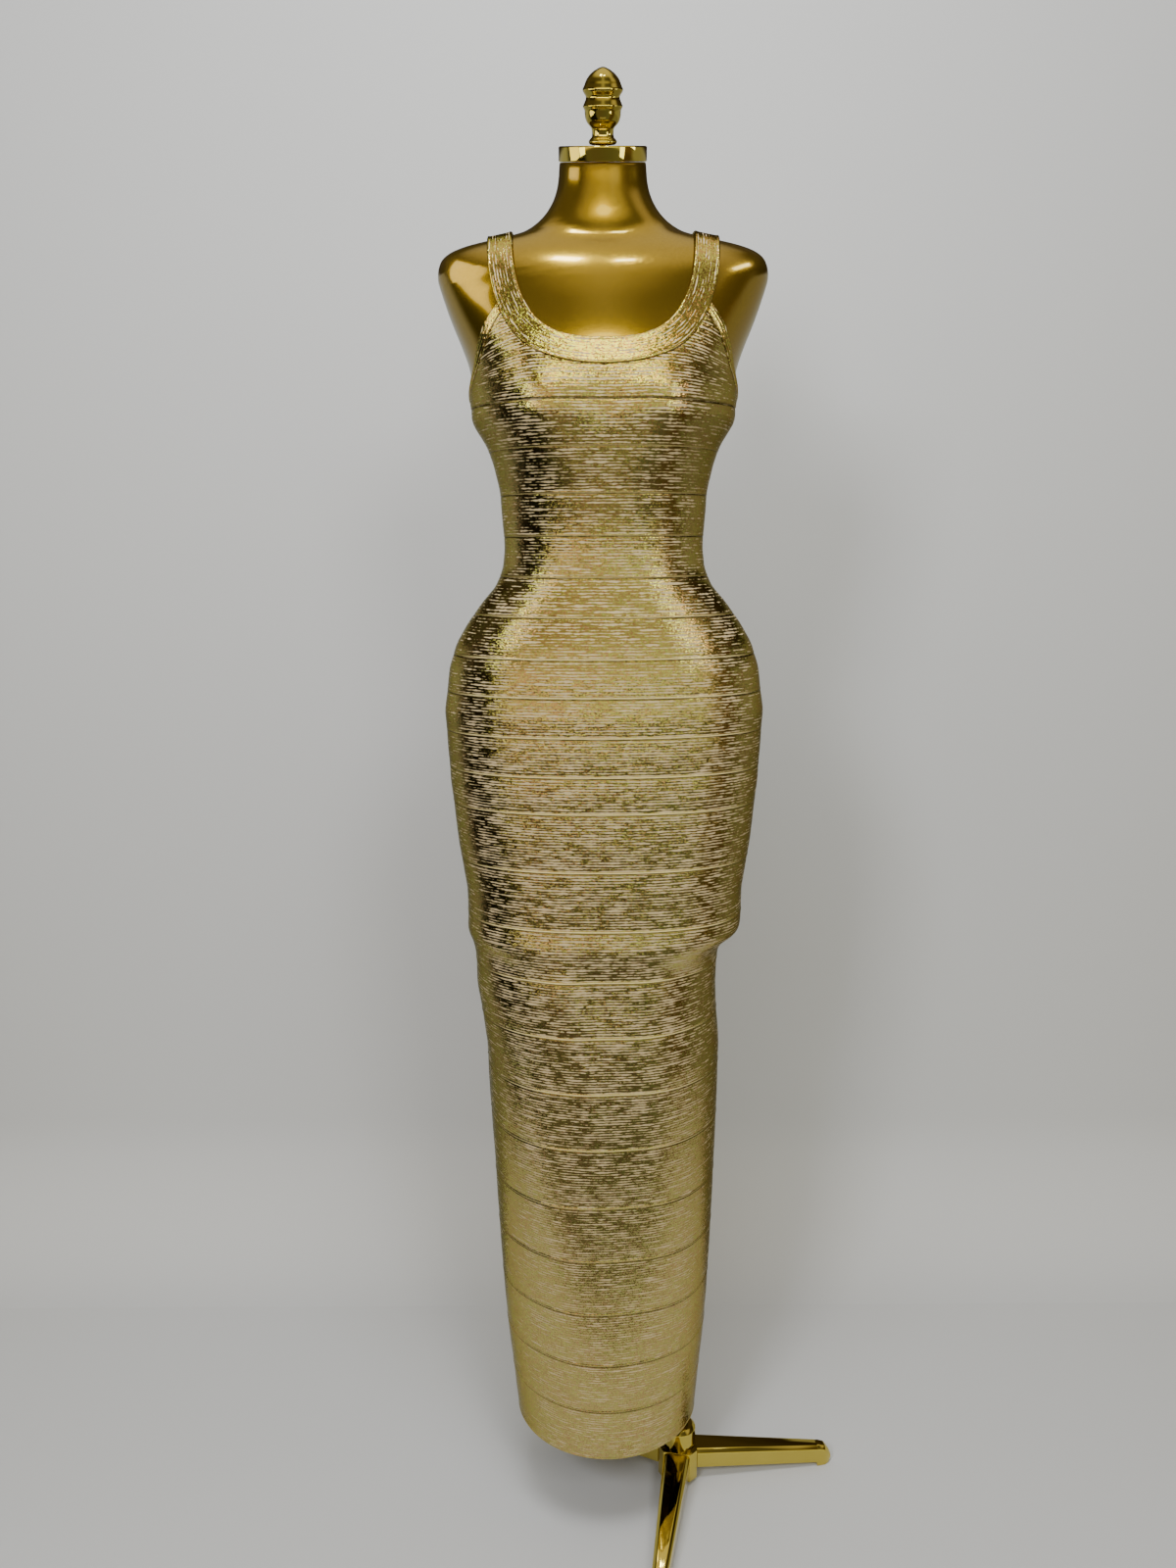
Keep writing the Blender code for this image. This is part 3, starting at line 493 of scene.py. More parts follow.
def hang(points):
    """How far the cloth stands out from, or falls in to, its plain form: soft folds of the wear."""
    x, y, z = points[..., 0], points[..., 1], points[..., 2]
    front = np.where(y < 0, 1.0, -1.0)
    out = np.zeros_like(x)
    for far, fold_x, half_width, fold_z, rise, half_height in BASE_FOLDS:
        out += far * near(x, fold_x, half_width) * near(z, fold_z + rise * (x - fold_x), half_height)
    slack = smooth_step(FORM_BASE - z, *SLACK_TOP) * smooth_step(z, *SLACK_HEM)
    close, wide = (far * np.sin(x * with_x + with_z * z + shift * front)
                   for far, with_x, with_z, shift in SLACK_WAVES)
    out += slack * (close * near(np.abs(y), *SLACK_SIDES) + wide)
    for far, dent_x, half_width, dent_z, half_height in SKIRT_DENTS:
        out += slack * far * near(x, dent_x, half_width) * near(z, dent_z, half_height) * (front > 0)
    top_x, top_z = LONG_FOLD_TOP
    crest = top_x + LONG_FOLD_LEAN * (top_z - z)
    fold = smooth_step(FORM_BASE - z, *LONG_FOLD_START) * smooth_step(z, *LONG_FOLD_END)
    out += fold * LONG_FOLD * near(x, crest, LONG_FOLD_HALF_WIDTH) * (front > 0)
    return out


def rib_count(bottom, top):
    return max(round((top - bottom) / RIB_PITCH), 1)


def rib_face(phase):
    """The ribs' own relief, for a phase that grows by one from rib to rib."""
    return RIB_HEIGHT * np.cos(2 * np.pi * (phase - 0.5))


def band_profile(height, bottom, top):
    """Offset of the knit's face over a band's height, and the phase of its ribs."""
    share = (height - bottom) / (top - bottom)
    phase = share * rib_count(bottom, top)
    slope = LAP_SLOPE + LAP_SLOPE_GROWTH * smooth_step(height, *LAP_GROWTH_HEIGHTS)
    out = rib_face(phase) + STRIP_BELLY * (1 - (2 * share - 1) ** 2)
    out += slope * np.clip(LAP_WIDTH - (height - bottom), 0, None)
    out += relief(height - bottom, LOWER_GROOVE) + relief(top - height, UPPER_GROOVE)
    return out, phase


def level_band(name, bottom, top, offset_around):
    """A closed strip as a shell, and its girth; the offset moves its pattern around it."""
    ribs = rib_count(bottom, top)
    low, high = bottom + SHELL_GAP / 2, top - SHELL_GAP / 2
    rows = np.linspace(low, high, ROWS_PER_RIB * ribs + 1)
    rows = np.sort(np.concatenate([rows, [low + ROWS_AT_SEAMS[0], high - ROWS_AT_SEAMS[1]]]))
    turns = math.pi / 2 + np.arange(BAND_COLUMNS) * 2 * math.pi / BAND_COLUMNS
    turn, height = np.meshgrid(turns, rows)
    on_figure = figure_points(turn, height)
    normals = figure_normals(on_figure)
    face, phase = band_profile(height, low, high)
    lift = BAND_FACE + face + hang(on_figure)
    outer = on_figure + lift[..., None] * normals
    inner_rows = np.linspace(0, len(rows) - 1, max(3, ribs // 3)).round().astype(int)
    inner_lift = (BAND_FACE - CLOTH_THICKNESS + hang(on_figure))[inner_rows]
    inner = on_figure[inner_rows] + inner_lift[..., None] * normals[inner_rows]

    points = np.concatenate([outer.reshape(-1, 3), inner.reshape(-1, 3)]) + FORM_AXIS
    ridge = np.zeros(len(points))
    # the ridge along a strip's bottom edge gets a painted highlight and the tuck along its top a painted
    # shadow
    on_edge = 1 - smooth_step(height - low, *RIDGE_FADE)
    tuck_shadow = 1 - smooth_step(high - height, *TUCK_SHADOW_FADE)
    ridge[:height.size] = (on_edge - tuck_shadow).ravel()
    columns = np.arange(BAND_COLUMNS)
    after = (columns + 1) % BAND_COLUMNS

    faces, uvs = [], []
    middle_ring = outer[len(rows) // 2]
    spans = np.linalg.norm(np.roll(middle_ring, -1, axis=0) - middle_ring, axis=1)
    around = np.concatenate([[0], np.cumsum(spans)]) + offset_around
    along = (phase[:, 0] + round(bottom / RIB_PITCH)) * RIB_PITCH

    def add(lower, upper, low_v, high_v, flip=False):
        """A ring of quads between two rings of points, by the numbers of their first points."""
        quad = np.stack([lower + columns, lower + after, upper + after, upper + columns], axis=-1)
        corners = ((around[:-1], low_v), (around[1:], low_v), (around[1:], high_v), (around[:-1], high_v))
        uv = np.stack([np.stack([u, np.full(BAND_COLUMNS, v)], -1) for u, v in corners], axis=1)
        faces.append(quad[:, ::-1] if flip else quad)
        uvs.append(uv[:, ::-1] if flip else uv)

    for row in range(len(rows) - 1):
        add(row * BAND_COLUMNS, (row + 1) * BAND_COLUMNS, along[row], along[row + 1])
    base = len(rows) * BAND_COLUMNS
    for row in range(len(inner_rows) - 1):
        add(base + row * BAND_COLUMNS, base + (row + 1) * BAND_COLUMNS,
            along[inner_rows[row]], along[inner_rows[row + 1]], flip=True)
    add(0, base, along[0], along[0], flip=True)
    last = base + (len(inner_rows) - 1) * BAND_COLUMNS
    add((len(rows) - 1) * BAND_COLUMNS, last, along[-1], along[-1])
    piece = mesh_piece(name, points, np.concatenate(faces), np.concatenate(uvs), ridge)
    return piece, around[-1] - around[0]


# ---------------- neck band, bodice tops, bindings
def open_sheet(name, outer, v, u, faces):
    """A sheet from points with one UV each, given its wall thickness inwards."""
    uv = np.stack([u, v], axis=-1)
    piece = mesh_piece(name, outer + FORM_AXIS, faces, uv[faces])
    select_only(piece)
    wall = piece.modifiers.new("wall", "SOLIDIFY")
    wall.thickness = CLOTH_THICKNESS
    wall.offset = -1
    bpy.ops.object.modifier_apply(modifier="wall")
    return piece


def grid_faces(rows, columns):
    corner = np.arange(rows - 1)[:, None] * columns + np.arange(columns - 1)
    return np.stack([corner, corner + 1, corner + columns + 1, corner + columns], -1).reshape(-1, 4)


def edge_strip(name, grid, face, v, mirrored=False):
    """A sheet on a grid of the figure's points, out by the edges' face, and its length."""
    rows, count = grid.shape[:2]
    outer = (grid + (EDGE_FACE + face)[..., None] * figure_normals(grid)).reshape(-1, 3)
    faces = grid_faces(rows, count)
    if mirrored:
        outer, faces = outer * MIRROR, faces[:, ::-1]
    along = run_lengths(grid[rows // 2])
    return open_sheet(name, outer, v.ravel(), np.tile(along, rows), faces), along[-1]


def drawn_in(line):
    """A line with both ends drawn in by half a seam's gap."""
    line = line.copy()
    for end, before in ((0, 1), (-1, -2)):
        inward = line[before] - line[end]
        line[end] = line[end] + inward * (SEAM_GAP / 2 / np.linalg.norm(inward))
    return line


def neck_band(name, lines, columns):
    """Half of the neck band: lines run from the lower seam up to the opening's edge."""
    grid = np.stack([drawn_in(line[columns]) for line in lines])
    rows, count = grid.shape[:2]
    across = np.linspace(0, NECK_BAND_WIDTH, rows)[:, None] + np.zeros(count)
    phase = across / NECK_BAND_WIDTH * NECK_BAND_RIBS
    along = run_lengths(grid[rows // 2])
    face = NECK_BAND_RIB_SHARE * rib_face(phase) + relief(across, *NECK_BAND_RELIEF)
    face += relief(np.minimum(along, along[-1] - along), SHOULDER_RIDGE)
    return edge_strip(name, grid, face, phase * RIB_PITCH)


def rib_fall(x, z):
    """How far a rib of the bodice top has fallen, at x, below its level in the middle."""
    beside = np.clip(np.abs(x) - RIB_FALL_START, 0, None)
    return RIB_FALL * beside ** 2 * smooth_step(z, TOP_SEAM, TOP_SEAM + RIB_FALL_RISE)


def bodice_top(name, side, seam_line, armhole_line):
    """Front or back of the bodice: its rows of points run along the ribs."""
    inner_turn = np.abs(turns_of(seam_line, side))
    outer_turn = np.abs(turns_of(armhole_line, side))
    inner_rib, outer_rib = (
        np.maximum.accumulate(line[:, 2] + rib_fall(line[:, 0], line[:, 2]))
        for line in (seam_line, armhole_line))
    peak = min(inner_rib[-1], outer_rib[-1])
    start = TOP_SEAM + SEAM_GAP / 2
    step = RIB_PITCH / ROWS_PER_RIB
    full = np.arange(start, inner_rib[0], step)
    full[-1] = inner_rib[0]
    lobes = np.append(np.arange(inner_rib[0] + step, peak - step / 2, step), peak)
    ribs = np.concatenate([full, lobes])
    share = np.linspace(0, 1, BODICE_SPANS + 1)

    def row(rib):
        """Points along one rib, from the middle or the neck band out to the armhole or the side."""
        out_turn = np.interp(rib, outer_rib, outer_turn)
        if rib < armhole_line[0, 2] + 1e-9:
            out_turn = SEAM_GAP / 2 / SIDE_RADIUS
        in_turn = np.interp(rib, inner_rib, inner_turn) if rib > inner_rib[0] else math.pi / 2
        turn = in_turn + (out_turn - in_turn) * share
        z = np.full(len(turn), rib)
        for _ in range(30):    # the fall depends on where the point comes to lie
            x = figure_points(side * turn, z)[:, 0]
            z = 0.5 * z + 0.5 * (rib - rib_fall(x, z))
        return figure_points(side * turn, z)

    right_rows = np.stack([row(rib) for rib in ribs])
    trunk = len(full)
    spans = np.linalg.norm(np.diff(right_rows, axis=1, prepend=right_rows[:, :1]), axis=2)
    along = np.cumsum(spans, axis=1) + np.abs(right_rows[:, :1, 0])
    phase = (ribs - start) / RIB_PITCH
    face = np.zeros(right_rows.shape[:2]) + rib_face(phase)[:, None]
    level = (ribs - start)[:, None]
    to_neck, to_arm = (
        np.linalg.norm(right_rows[:, :, None] - line[None, None, ::2], axis=3).min(axis=2)
        for line in (seam_line, armhole_line))
    to_arm[ribs < armhole_line[0, 2]] = 1
    face += relief(level, BODICE_GROOVE) + relief(to_neck, NECK_DIP) + relief(to_arm, ARM_DIP)
    lift = BAND_FACE + (BODICE_FACE - BAND_FACE) * (0.5 + 0.5 * smooth_step(level, 0, BODICE_RISE))
    outer = right_rows + (lift + face)[..., None] * figure_normals(right_rows)
    rows, columns = outer.shape[:2]
    points = np.concatenate([outer.reshape(-1, 3), (outer * MIRROR).reshape(-1, 3)])
    u = np.concatenate([along.ravel(), -along.ravel()])
    v = np.concatenate([np.repeat(phase * RIB_PITCH, columns)] * 2)
    one = grid_faces(rows, columns)
    other = one[:, ::-1] + rows * columns
    faces = np.concatenate([one, other])
    if side > 0:
        faces = faces[:, ::-1]
    # the trunk's two halves share the middle column
    merge = np.arange(len(points))
    middle_column = np.arange(trunk) * columns
    merge[rows * columns + middle_column] = middle_column
    faces = merge[faces]
    used = np.unique(faces)
    renumber = np.zeros(len(points), int)
    renumber[used] = np.arange(len(used))
    return open_sheet(name, points[used], v[used], u[used], renumber[faces])


def binding(name, runs, mirrored):
    """A rounded armhole binding: runs lead from its outer seam in to the opening's edge."""
    grid = np.stack(runs)
    across = np.linspace(0, BINDING_WIDTH, len(runs))[:, None] + np.zeros(grid.shape[1])
    crown = np.sin(np.pi * np.clip(across / BINDING_WIDTH, 0, 1)) ** 0.7
    face = BINDING_CROWN * crown - BINDING_SINK
    face += BINDING_RIB_HEIGHT * np.cos(2 * np.pi * across / BINDING_RIB)
    return edge_strip(name, grid, face, across, mirrored)


# ---------------- materials
def node_tools(tree):
    """Short ways to add nodes to a tree: a value that is a socket is linked, any other is set."""
    def fill(made, inputs):
        for key, value in dict(inputs).items():
            socket = made.inputs[key]
            if isinstance(value, bpy.types.NodeSocket):
                tree.links.new(value, socket)
            else:
                socket.default_value = (*value, 1) if socket.type == "RGBA" else value
        return made

    def node(kind, inputs=(), **settings):
        made = tree.nodes.new(kind)
        for key, value in settings.items():
            setattr(made, key, value)
        return fill(made, inputs)

    def maths(operation, *values):
        return node("ShaderNodeMath", enumerate(values), operation=operation).outputs[0]

    def ramp(value, stops):
        made = node("ShaderNodeValToRGB", {0: value})
        elements = made.color_ramp.elements
        while len(elements) < len(stops):
            elements.new(0.5)
        for element, (position, colour) in zip(elements, stops):
            element.position = position
            element.color = (*colour, 1)
        return made.outputs[0]

    def mix(share, first, second):
        return node("ShaderNodeMix", {0: share, 6: first, 7: second}, data_type="RGBA").outputs[2]

    return fill, node, maths, ramp, mix


def new_finish(name):
    finish = bpy.data.materials.new(name)
    finish.use_nodes = True
    return finish, finish.node_tree.nodes["Principled BSDF"], *node_tools(finish.node_tree)


def foil_knit(name, foil_colour, worn_share=0.0):
    """Champagne knit under gold foil, which has cracked open along the grooves between the ribs."""
    finish, shader, fill, node, maths, ramp, mix = new_finish(name)
    split = node("ShaderNodeSeparateXYZ", {0: node("ShaderNodeUVMap", uv_map="knit").outputs[0]})
    u, v = split.outputs[0], split.outputs[1]
    coordinates = node("ShaderNodeTexCoord").outputs
    height = node("ShaderNodeSeparateXYZ", {0: coordinates["Object"]}).outputs[2]
    side_facing = node("ShaderNodeSeparateXYZ", {0: coordinates["Normal"]}).outputs[0]
    ridge = node("ShaderNodeAttribute", attribute_name="ridge").outputs["Fac"]

    def noise(across, up, plane, detail=2.0, row=None):
        """Noise with so many cells a metre across and up, or one row of it for each rib."""
        place = node("ShaderNodeCombineXYZ", {
            0: maths("MULTIPLY", u, across), 1: maths("MULTIPLY", v if row is None else row, up),
            2: plane}).outputs[0]
        return node("ShaderNodeTexNoise", {"Vector": place, "Scale": 1.0, "Detail": detail,
                                           "Roughness": 0.6}).outputs[0]

    def spread(value, width):
        """A value from 0 to 1 as one from minus half the width to half the width."""
        return maths("MULTIPLY", maths("SUBTRACT", value, 0.5), width)

    def by_height(shares):
        stops = [(z / SHARES_TOP, (share, share, share)) for z, share in shares]
        return ramp(maths("DIVIDE", height, SHARES_TOP), stops)

    rib = maths("DIVIDE", maths("ADD", v, spread(noise(30, 90, 1.0), 0.0018)), RIB_PITCH)
    row = maths("FLOOR", maths("ADD", rib, 0.5))
    from_groove = maths("MULTIPLY", maths("ABSOLUTE", maths("SUBTRACT", rib, row)), 2.0)
    # how wide the knit shows in each groove: by the rib, by larger patches and by the height
    worn = spread(noise(46, 7.77, 2.0, 5.0, row), WORN_BY_RIB)
    worn = maths("ADD", worn, spread(noise(26, 60, 4.0), WORN_IN_PATCHES))
    worn = maths("ADD", worn, spread(noise(150, 700, 6.0), WORN_IN_SPECKS))
    worn = maths("ADD", worn, maths("ADD", by_height(WORN_SHARES), worn_share))
    # the foil is whole where the figure turns away to its sides, and on the seams' ridges; at the sides
    # this is partly wear and partly painted shade, as less bright knit shows there
    side_wear_and_shade = node("ShaderNodeMapRange", {"Value": maths("ABSOLUTE", side_facing),
                                        "From Min": 0.60, "From Max": 0.84}).outputs[0]
    worn = maths("SUBTRACT", worn, maths("MULTIPLY", side_wear_and_shade, WHOLE_AT_SIDES))
    on_ridge = maths("MAXIMUM", ridge, 0.0)
    worn = maths("SUBTRACT", worn, maths("MULTIPLY", on_ridge, WHOLE_ON_RIDGES))
    bare = node("ShaderNodeMapRange", {"Value": maths("SUBTRACT", worn, from_groove),
                                       "From Min": -0.12, "From Max": 0.12}).outputs[0]

    # the foil breaks up into small facets, each with a tint and a lean of its own
    cell = node("ShaderNodeTexVoronoi", {
        "Vector": node("ShaderNodeCombineXYZ", {
            0: maths("MULTIPLY", u, 850), 1: maths("MULTIPLY", v, 1100)}).outputs[0],
        "Scale": 1.0})
    tint = node("ShaderNodeSeparateColor", {0: cell.outputs["Color"]})
    hue = maths("ADD", 0.5, spread(tint.outputs[0], 0.10))
    hue = maths("ADD", hue, spread(noise(20, 34, 9.0), 0.05))
    bright = maths("ADD", 0.80, maths("MULTIPLY", tint.outputs[1], 0.40))
    foil = node("ShaderNodeHueSaturation", {"Hue": hue, "Saturation": 1.0, "Value": bright,
                                            "Color": foil_colour}).outputs[0]
    knit = mix(noise(26, 60, 8.0), KNIT_SHADE, KNIT_COLOUR)
    # the seams' edges get a painted highlight, a bright satin colour, most of all round the hips
    seam_highlight = maths("MULTIPLY", maths("MULTIPLY", on_ridge, 0.95), maths("SUBTRACT", 1.0, side_wear_and_shade))
    seam_highlight = maths("MULTIPLY", seam_highlight, by_height(SEAM_HIGHLIGHT_SHARES))
    colour = mix(seam_highlight, mix(bare, foil, knit), SEAM_HIGHLIGHT_COLOUR)
    # painted shadow in the tuck along each strip's top, under the lap of the strip above
    tuck_shadow = maths("MAXIMUM", maths("MULTIPLY", ridge, -1.0), 0.0)
    tuck_shadow = maths("MULTIPLY", tuck_shadow, by_height(TUCK_SHADOW_SHARES))

    facet = mix(0.09, (0.5, 0.5, 1.0), cell.outputs["Color"])
    lean = node("ShaderNodeNormalMap", {"Color": facet, "Strength": 1.0}, uv_map="knit").outputs[0]
    grain = maths("SUBTRACT", noise(520, 900, 2.0), maths("MULTIPLY", bare, 0.7))
    fill(shader, {
        "Base Color": mix(tuck_shadow, colour, TUCK_SHADOW_COLOUR),
        "Metallic": maths("MULTIPLY", maths("SUBTRACT", 1.0, bare), maths("SUBTRACT", 1.0, seam_highlight)),
        "Roughness": maths("ADD", FOIL_ROUGHNESS, maths("MULTIPLY", bare, KNIT_ROUGHNESS)),
        "Specular Tint": FOIL_EDGE,
        "Normal": node("ShaderNodeBump", {"Strength": 0.35, "Distance": 0.0003, "Height": grain,
                                          "Normal": lean}).outputs[0],
    })
    return finish


def gold_paint(name):
    """Gold flake paint on a moulded form, under a deep clear coat."""
    finish, shader, fill, node, maths, ramp, mix = new_finish(name)
    place = node("ShaderNodeTexCoord").outputs["Object"]
    flake = node("ShaderNodeTexVoronoi", {"Vector": place, "Scale": 1100.0})
    tint = node("ShaderNodeSeparateColor", {0: flake.outputs["Color"]})
    cloud = node("ShaderNodeTexNoise", {"Vector": place, "Scale": 9.0, "Detail": 2.0}).outputs[0]
    peel = node("ShaderNodeTexNoise", {"Vector": place, "Scale": 60.0, "Detail": 1.0}).outputs[0]
    bump = node("ShaderNodeBump", {"Strength": 0.025, "Distance": 0.001, "Height": peel}).outputs[0]
    ground = mix(cloud, PAINT_SHADE, PAINT_COLOUR)
    fill(shader, {
        "Base Color": mix(maths("MULTIPLY", tint.outputs[0], 0.20), ground, FLAKE_COLOUR),
        "Metallic": 0.95,
        "Roughness": maths("ADD", PAINT_ROUGHNESS, maths("MULTIPLY", tint.outputs[1], 0.03)),
        "Coat Weight": 1.0,
        "Coat Roughness": 0.03,
        "Coat IOR": 1.45,
        "Normal": bump,
        "Coat Normal": bump,
    })
    return finish


def gold_plate(name):
    """Polished gold-coloured plate with faint smears."""
    finish, shader, fill, node, maths, ramp, mix = new_finish(name)
    place = node("ShaderNodeTexCoord").outputs["Object"]
    smear = node("ShaderNodeTexNoise", {"Vector": place, "Scale": 22.0, "Detail": 4.0,
                                        "Roughness": 0.65}).outputs[0]
    fill(shader, {
        "Base Color": mix(smear, PLATE_SHADE, PLATE_COLOUR),
        "Metallic": 1.0,
        "Roughness": ramp(smear, [(0.35, (0.03,) * 3), (0.75, (0.09,) * 3)]),
    })
    return finish


knit_finish = foil_knit("foil_knit_bands", FOIL_COLOUR)
edge_finish = foil_knit("foil_knit_edges", BAND_FOIL_COLOUR, WORN_ON_EDGES)
paint_finish = gold_paint("gold_flake_paint")
plate_finish = gold_plate("polished_gold_plate")

# ---------------- the dress
seams = TOP_SEAM - np.cumsum((0,) + NARROW_BANDS + WIDE_BANDS)
for number, (top, bottom) in enumerate(zip(seams, seams[1:]), start=1):
    piece, girth = level_band(f"strip_{number:02d}", bottom, top, PATTERN_STEP * number)
    finish_piece(piece, knit_finish, f"band_{number:02d}")

edge = neckline()
band_lines = sideways(edge, NECK_BAND_WIDTH, NECK_BAND_STEPS)[::-1]
seam_under_band = sideways(band_lines[0], SEAM_GAP, 1)[-1]
half_count = len(edge) // 2
halves = {"front": np.arange(0, half_count + 1),
          "back": np.arange(half_count, 2 * half_count + 1) % len(edge)}
for half, side in (("front", -1), ("back", 1)):
    columns = halves[half]
    piece, length = neck_band(f"neck_binding_{half}", band_lines, columns)
    finish_piece(piece, edge_finish, f"neck_band_{half}")

    top = seam_under_band[columns][STRAP_SPANS:len(columns) - STRAP_SPANS]
    if side > 0:
        top = top[::-1]
    seam_line = top[len(top) // 2:]                  # from the middle out to the strap, x > 0
    margin = BINDING_WIDTH + SEAM_GAP
    run = armhole_run(side, seam_line[-1], armhole_low(margin), margin, BODICE_EDGE_SPANS)
    piece = bodice_top(f"bodice_{half}", side, seam_line, run[::-1])
    finish_piece(piece, knit_finish, f"bodice_top_{half}")

binding_runs = []
for margin in np.linspace(BINDING_WIDTH, 0, BINDING_ROWS):
    share = 1 - margin / BINDING_WIDTH
    arms = {}
    for side in (-1, 1):
        low_tip = seam_under_band[half_count + side * STRAP_SPANS]
        high_tip = seam_under_band[half_count + side * (STRAP_SPANS - 1)]
        first = low_tip + (high_tip - low_tip) * BINDING_TIP_GAP / BINDING_END
        end = onto_figure(first + (high_tip - first) * share)
        arms[side] = armhole_run(side, end, armhole_low(margin), margin)
    binding_runs.append(np.vstack([arms[-1], arms[1][-2::-1]]))
for name, mirrored in (("right", False), ("left", True)):
    piece, length = binding(f"armhole_edge_{name}", binding_runs, mirrored)
    finish_piece(piece, edge_finish, f"armhole_binding_{name}")


# ---------------- the form
def copy_of(solid, name):
    """A merged copy of a solid, to be worked on."""
    select_only(frame["nodes"][solid])
    bpy.ops.object.duplicate()
    piece = bpy.context.active_object
    piece.name = piece.data.name = name
    del piece["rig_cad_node"]     # the mark of a solid, which a copy isn't
    bpy.ops.object.mode_set(mode="EDIT")
    bpy.ops.mesh.select_all(action="SELECT")
    bpy.ops.mesh.remove_doubles(threshold=0.00002)
    bpy.ops.mesh.tris_convert_to_quads()
    bpy.ops.mesh.normals_make_consistent(inside=False)
    bpy.ops.object.mode_set(mode="OBJECT")
    return piece


def apply_all(piece):
    select_only(piece)
    for modifier in list(piece.modifiers):
        bpy.ops.object.modifier_apply(modifier=modifier.name)


def subdivide(piece):
    smoothing = piece.modifiers.new("smoothing", "SUBSURF")
    smoothing.levels = smoothing.render_levels = 2
    apply_all(piece)


form = copy_of("dress_form", "torso_form")
subdivide(form)
bpy.ops.object.shade_smooth_by_angle(angle=math.radians(50))
finish_piece(form, paint_finish, "dress_form")


# ---------------- turned and cast metal
def turned(name, centre, rows, segments):
    """A piece drawn up ring by ring from a flat disc, as on a lathe: rows of (radius, height)."""
    bpy.ops.object.select_all(action="DESELECT")
    radius, height = rows[0]
    bpy.ops.mesh.primitive_circle_add(vertices=segments, radius=radius, fill_type="NGON",
                                      location=(*centre, height))
    piece = bpy.context.active_object
    piece.name = name
    bpy.ops.object.transform_apply(location=True, rotation=True, scale=True)
    bpy.ops.object.mode_set(mode="EDIT")
    bpy.ops.mesh.select_all(action="SELECT")
    for next_radius, next_height in rows[1:]:
        bpy.ops.mesh.extrude_region_move(
            TRANSFORM_OT_translate={"value": (0, 0, next_height - height)})
        share = next_radius / radius
        bpy.ops.transform.resize(value=(share, share, 1), center_override=(*centre, next_height))
        radius, height = next_radius, next_height
    bpy.ops.mesh.select_all(action="SELECT")
    bpy.ops.mesh.normals_make_consistent(inside=False)
    bpy.ops.object.mode_set(mode="OBJECT")
    return piece


def soften(piece, width, angle=30):
    """Rounds the edges that are sharper than the angle."""
    edge_round = piece.modifiers.new("edges", "BEVEL")
    edge_round.width = width
    edge_round.segments = 3
    edge_round.limit_method = "ANGLE"
    edge_round.angle_limit = math.radians(angle)
    apply_all(piece)
    bpy.ops.object.shade_smooth_by_angle(angle=math.radians(40))


def lean_forward(piece):
    """Leans a piece that was turned upright, about the middle of the neck's top."""
    select_only(piece)
    bpy.ops.transform.rotate(value=-NECK_LEAN, orient_axis="X", center_override=(*FORM_CENTRE, NECK_TOP))
    bpy.ops.object.transform_apply(location=True, rotation=True, scale=True)
    return piece


def radius_of(node):
    low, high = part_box(node)
    return (high.x - low.x) / 2


cap_radius = radius_of("neck_cap")
cap_foot = NECK_TOP + SEAM_GAP
cap_top = cap_foot + CAP_THICKNESS
cap = lean_forward(turned("cap_disc", FORM_CENTRE, [
    (cap_radius - 0.0006, cap_foot), (cap_radius, cap_foot + 0.0008), (cap_radius, cap_top - 0.0010),
    (cap_radius - 0.0010, cap_top), (0.018, cap_top)], CAP_SIDES))
soften(cap, METAL_ROUND)
finish_piece(cap, plate_finish, "neck_cap")

# the finial's outline from its foot up: radius, height
FINIAL = [
    (0.0126, 0.0000), (0.0148, 0.0020), (0.0153, 0.0041), (0.0142, 0.0059), (0.0119, 0.0076),
    (0.0114, 0.0100), (0.0114, 0.0130), (0.0119, 0.0168), (0.0143, 0.0188), (0.0160, 0.0206),
    (0.0176, 0.0228), (0.0188, 0.0264), (0.0192, 0.0301), (0.0192, 0.0333), (0.0206, 0.0353),
    (0.0213, 0.0370), (0.0201, 0.0388), (0.0186, 0.0420), (0.0176, 0.0447), (0.0184, 0.0468),
    (0.0205, 0.0495), (0.0216, 0.0517), (0.0209, 0.0538), (0.0194, 0.0561), (0.0182, 0.0597),
    (0.0161, 0.0632), (0.0127, 0.0668), (0.0084, 0.0698), (0.0045, 0.0717), (0.0010, 0.0729),
]
finial_rows = [(radius, cap_top + SEAM_GAP + height) for radius, height in FINIAL]
finial = lean_forward(turned("finial_turning", FORM_CENTRE, finial_rows, TUBE_SIDES))
subdivide(finial)
bpy.ops.object.shade_smooth()
finish_piece(finial, plate_finish, "finial")

pole_low, pole_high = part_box("pole")
pole_radius = radius_of("pole")
pole_rows = [(pole_radius, pole_low.z), (pole_radius, pole_high.z)]
pole = turned("pole_tube", POLE_AXIS, pole_rows, TUBE_SIDES)
soften(pole, METAL_ROUND)
finish_piece(pole, plate_finish, "pole")

for solid, name, edge_width in (
    ("form_socket", "pole_socket", HUB_ROUND), ("pole_collar", "foot_collar", HUB_ROUND),
    ("stand_hub", "leg_hub", HUB_ROUND), ("leg_side", "stand_leg_side", LEG_ROUND),
    ("leg_back", "stand_leg_back", LEG_ROUND), ("leg_front", "stand_leg_front", LEG_ROUND),
):
    casting = copy_of(solid, name)
    soften(casting, edge_width, 25)
    finish_piece(casting, plate_finish, solid)

# ---------------- floor, light and camera
PAPER_COLOUR = (0.53, 0.545, 0.57)
PAPER_ROUGHNESS = 0.6
PAPER_HALF_WIDTH = 1.2
PAPER_FRONT = -0.55
PAPER_BACK = 0.62
PAPER_TOP = 2.9
PAPER_BEND = 0.22
PAPER_BEND_POINTS = 13
BEYOND_PAPER = (0.62, 0.63, 0.65)


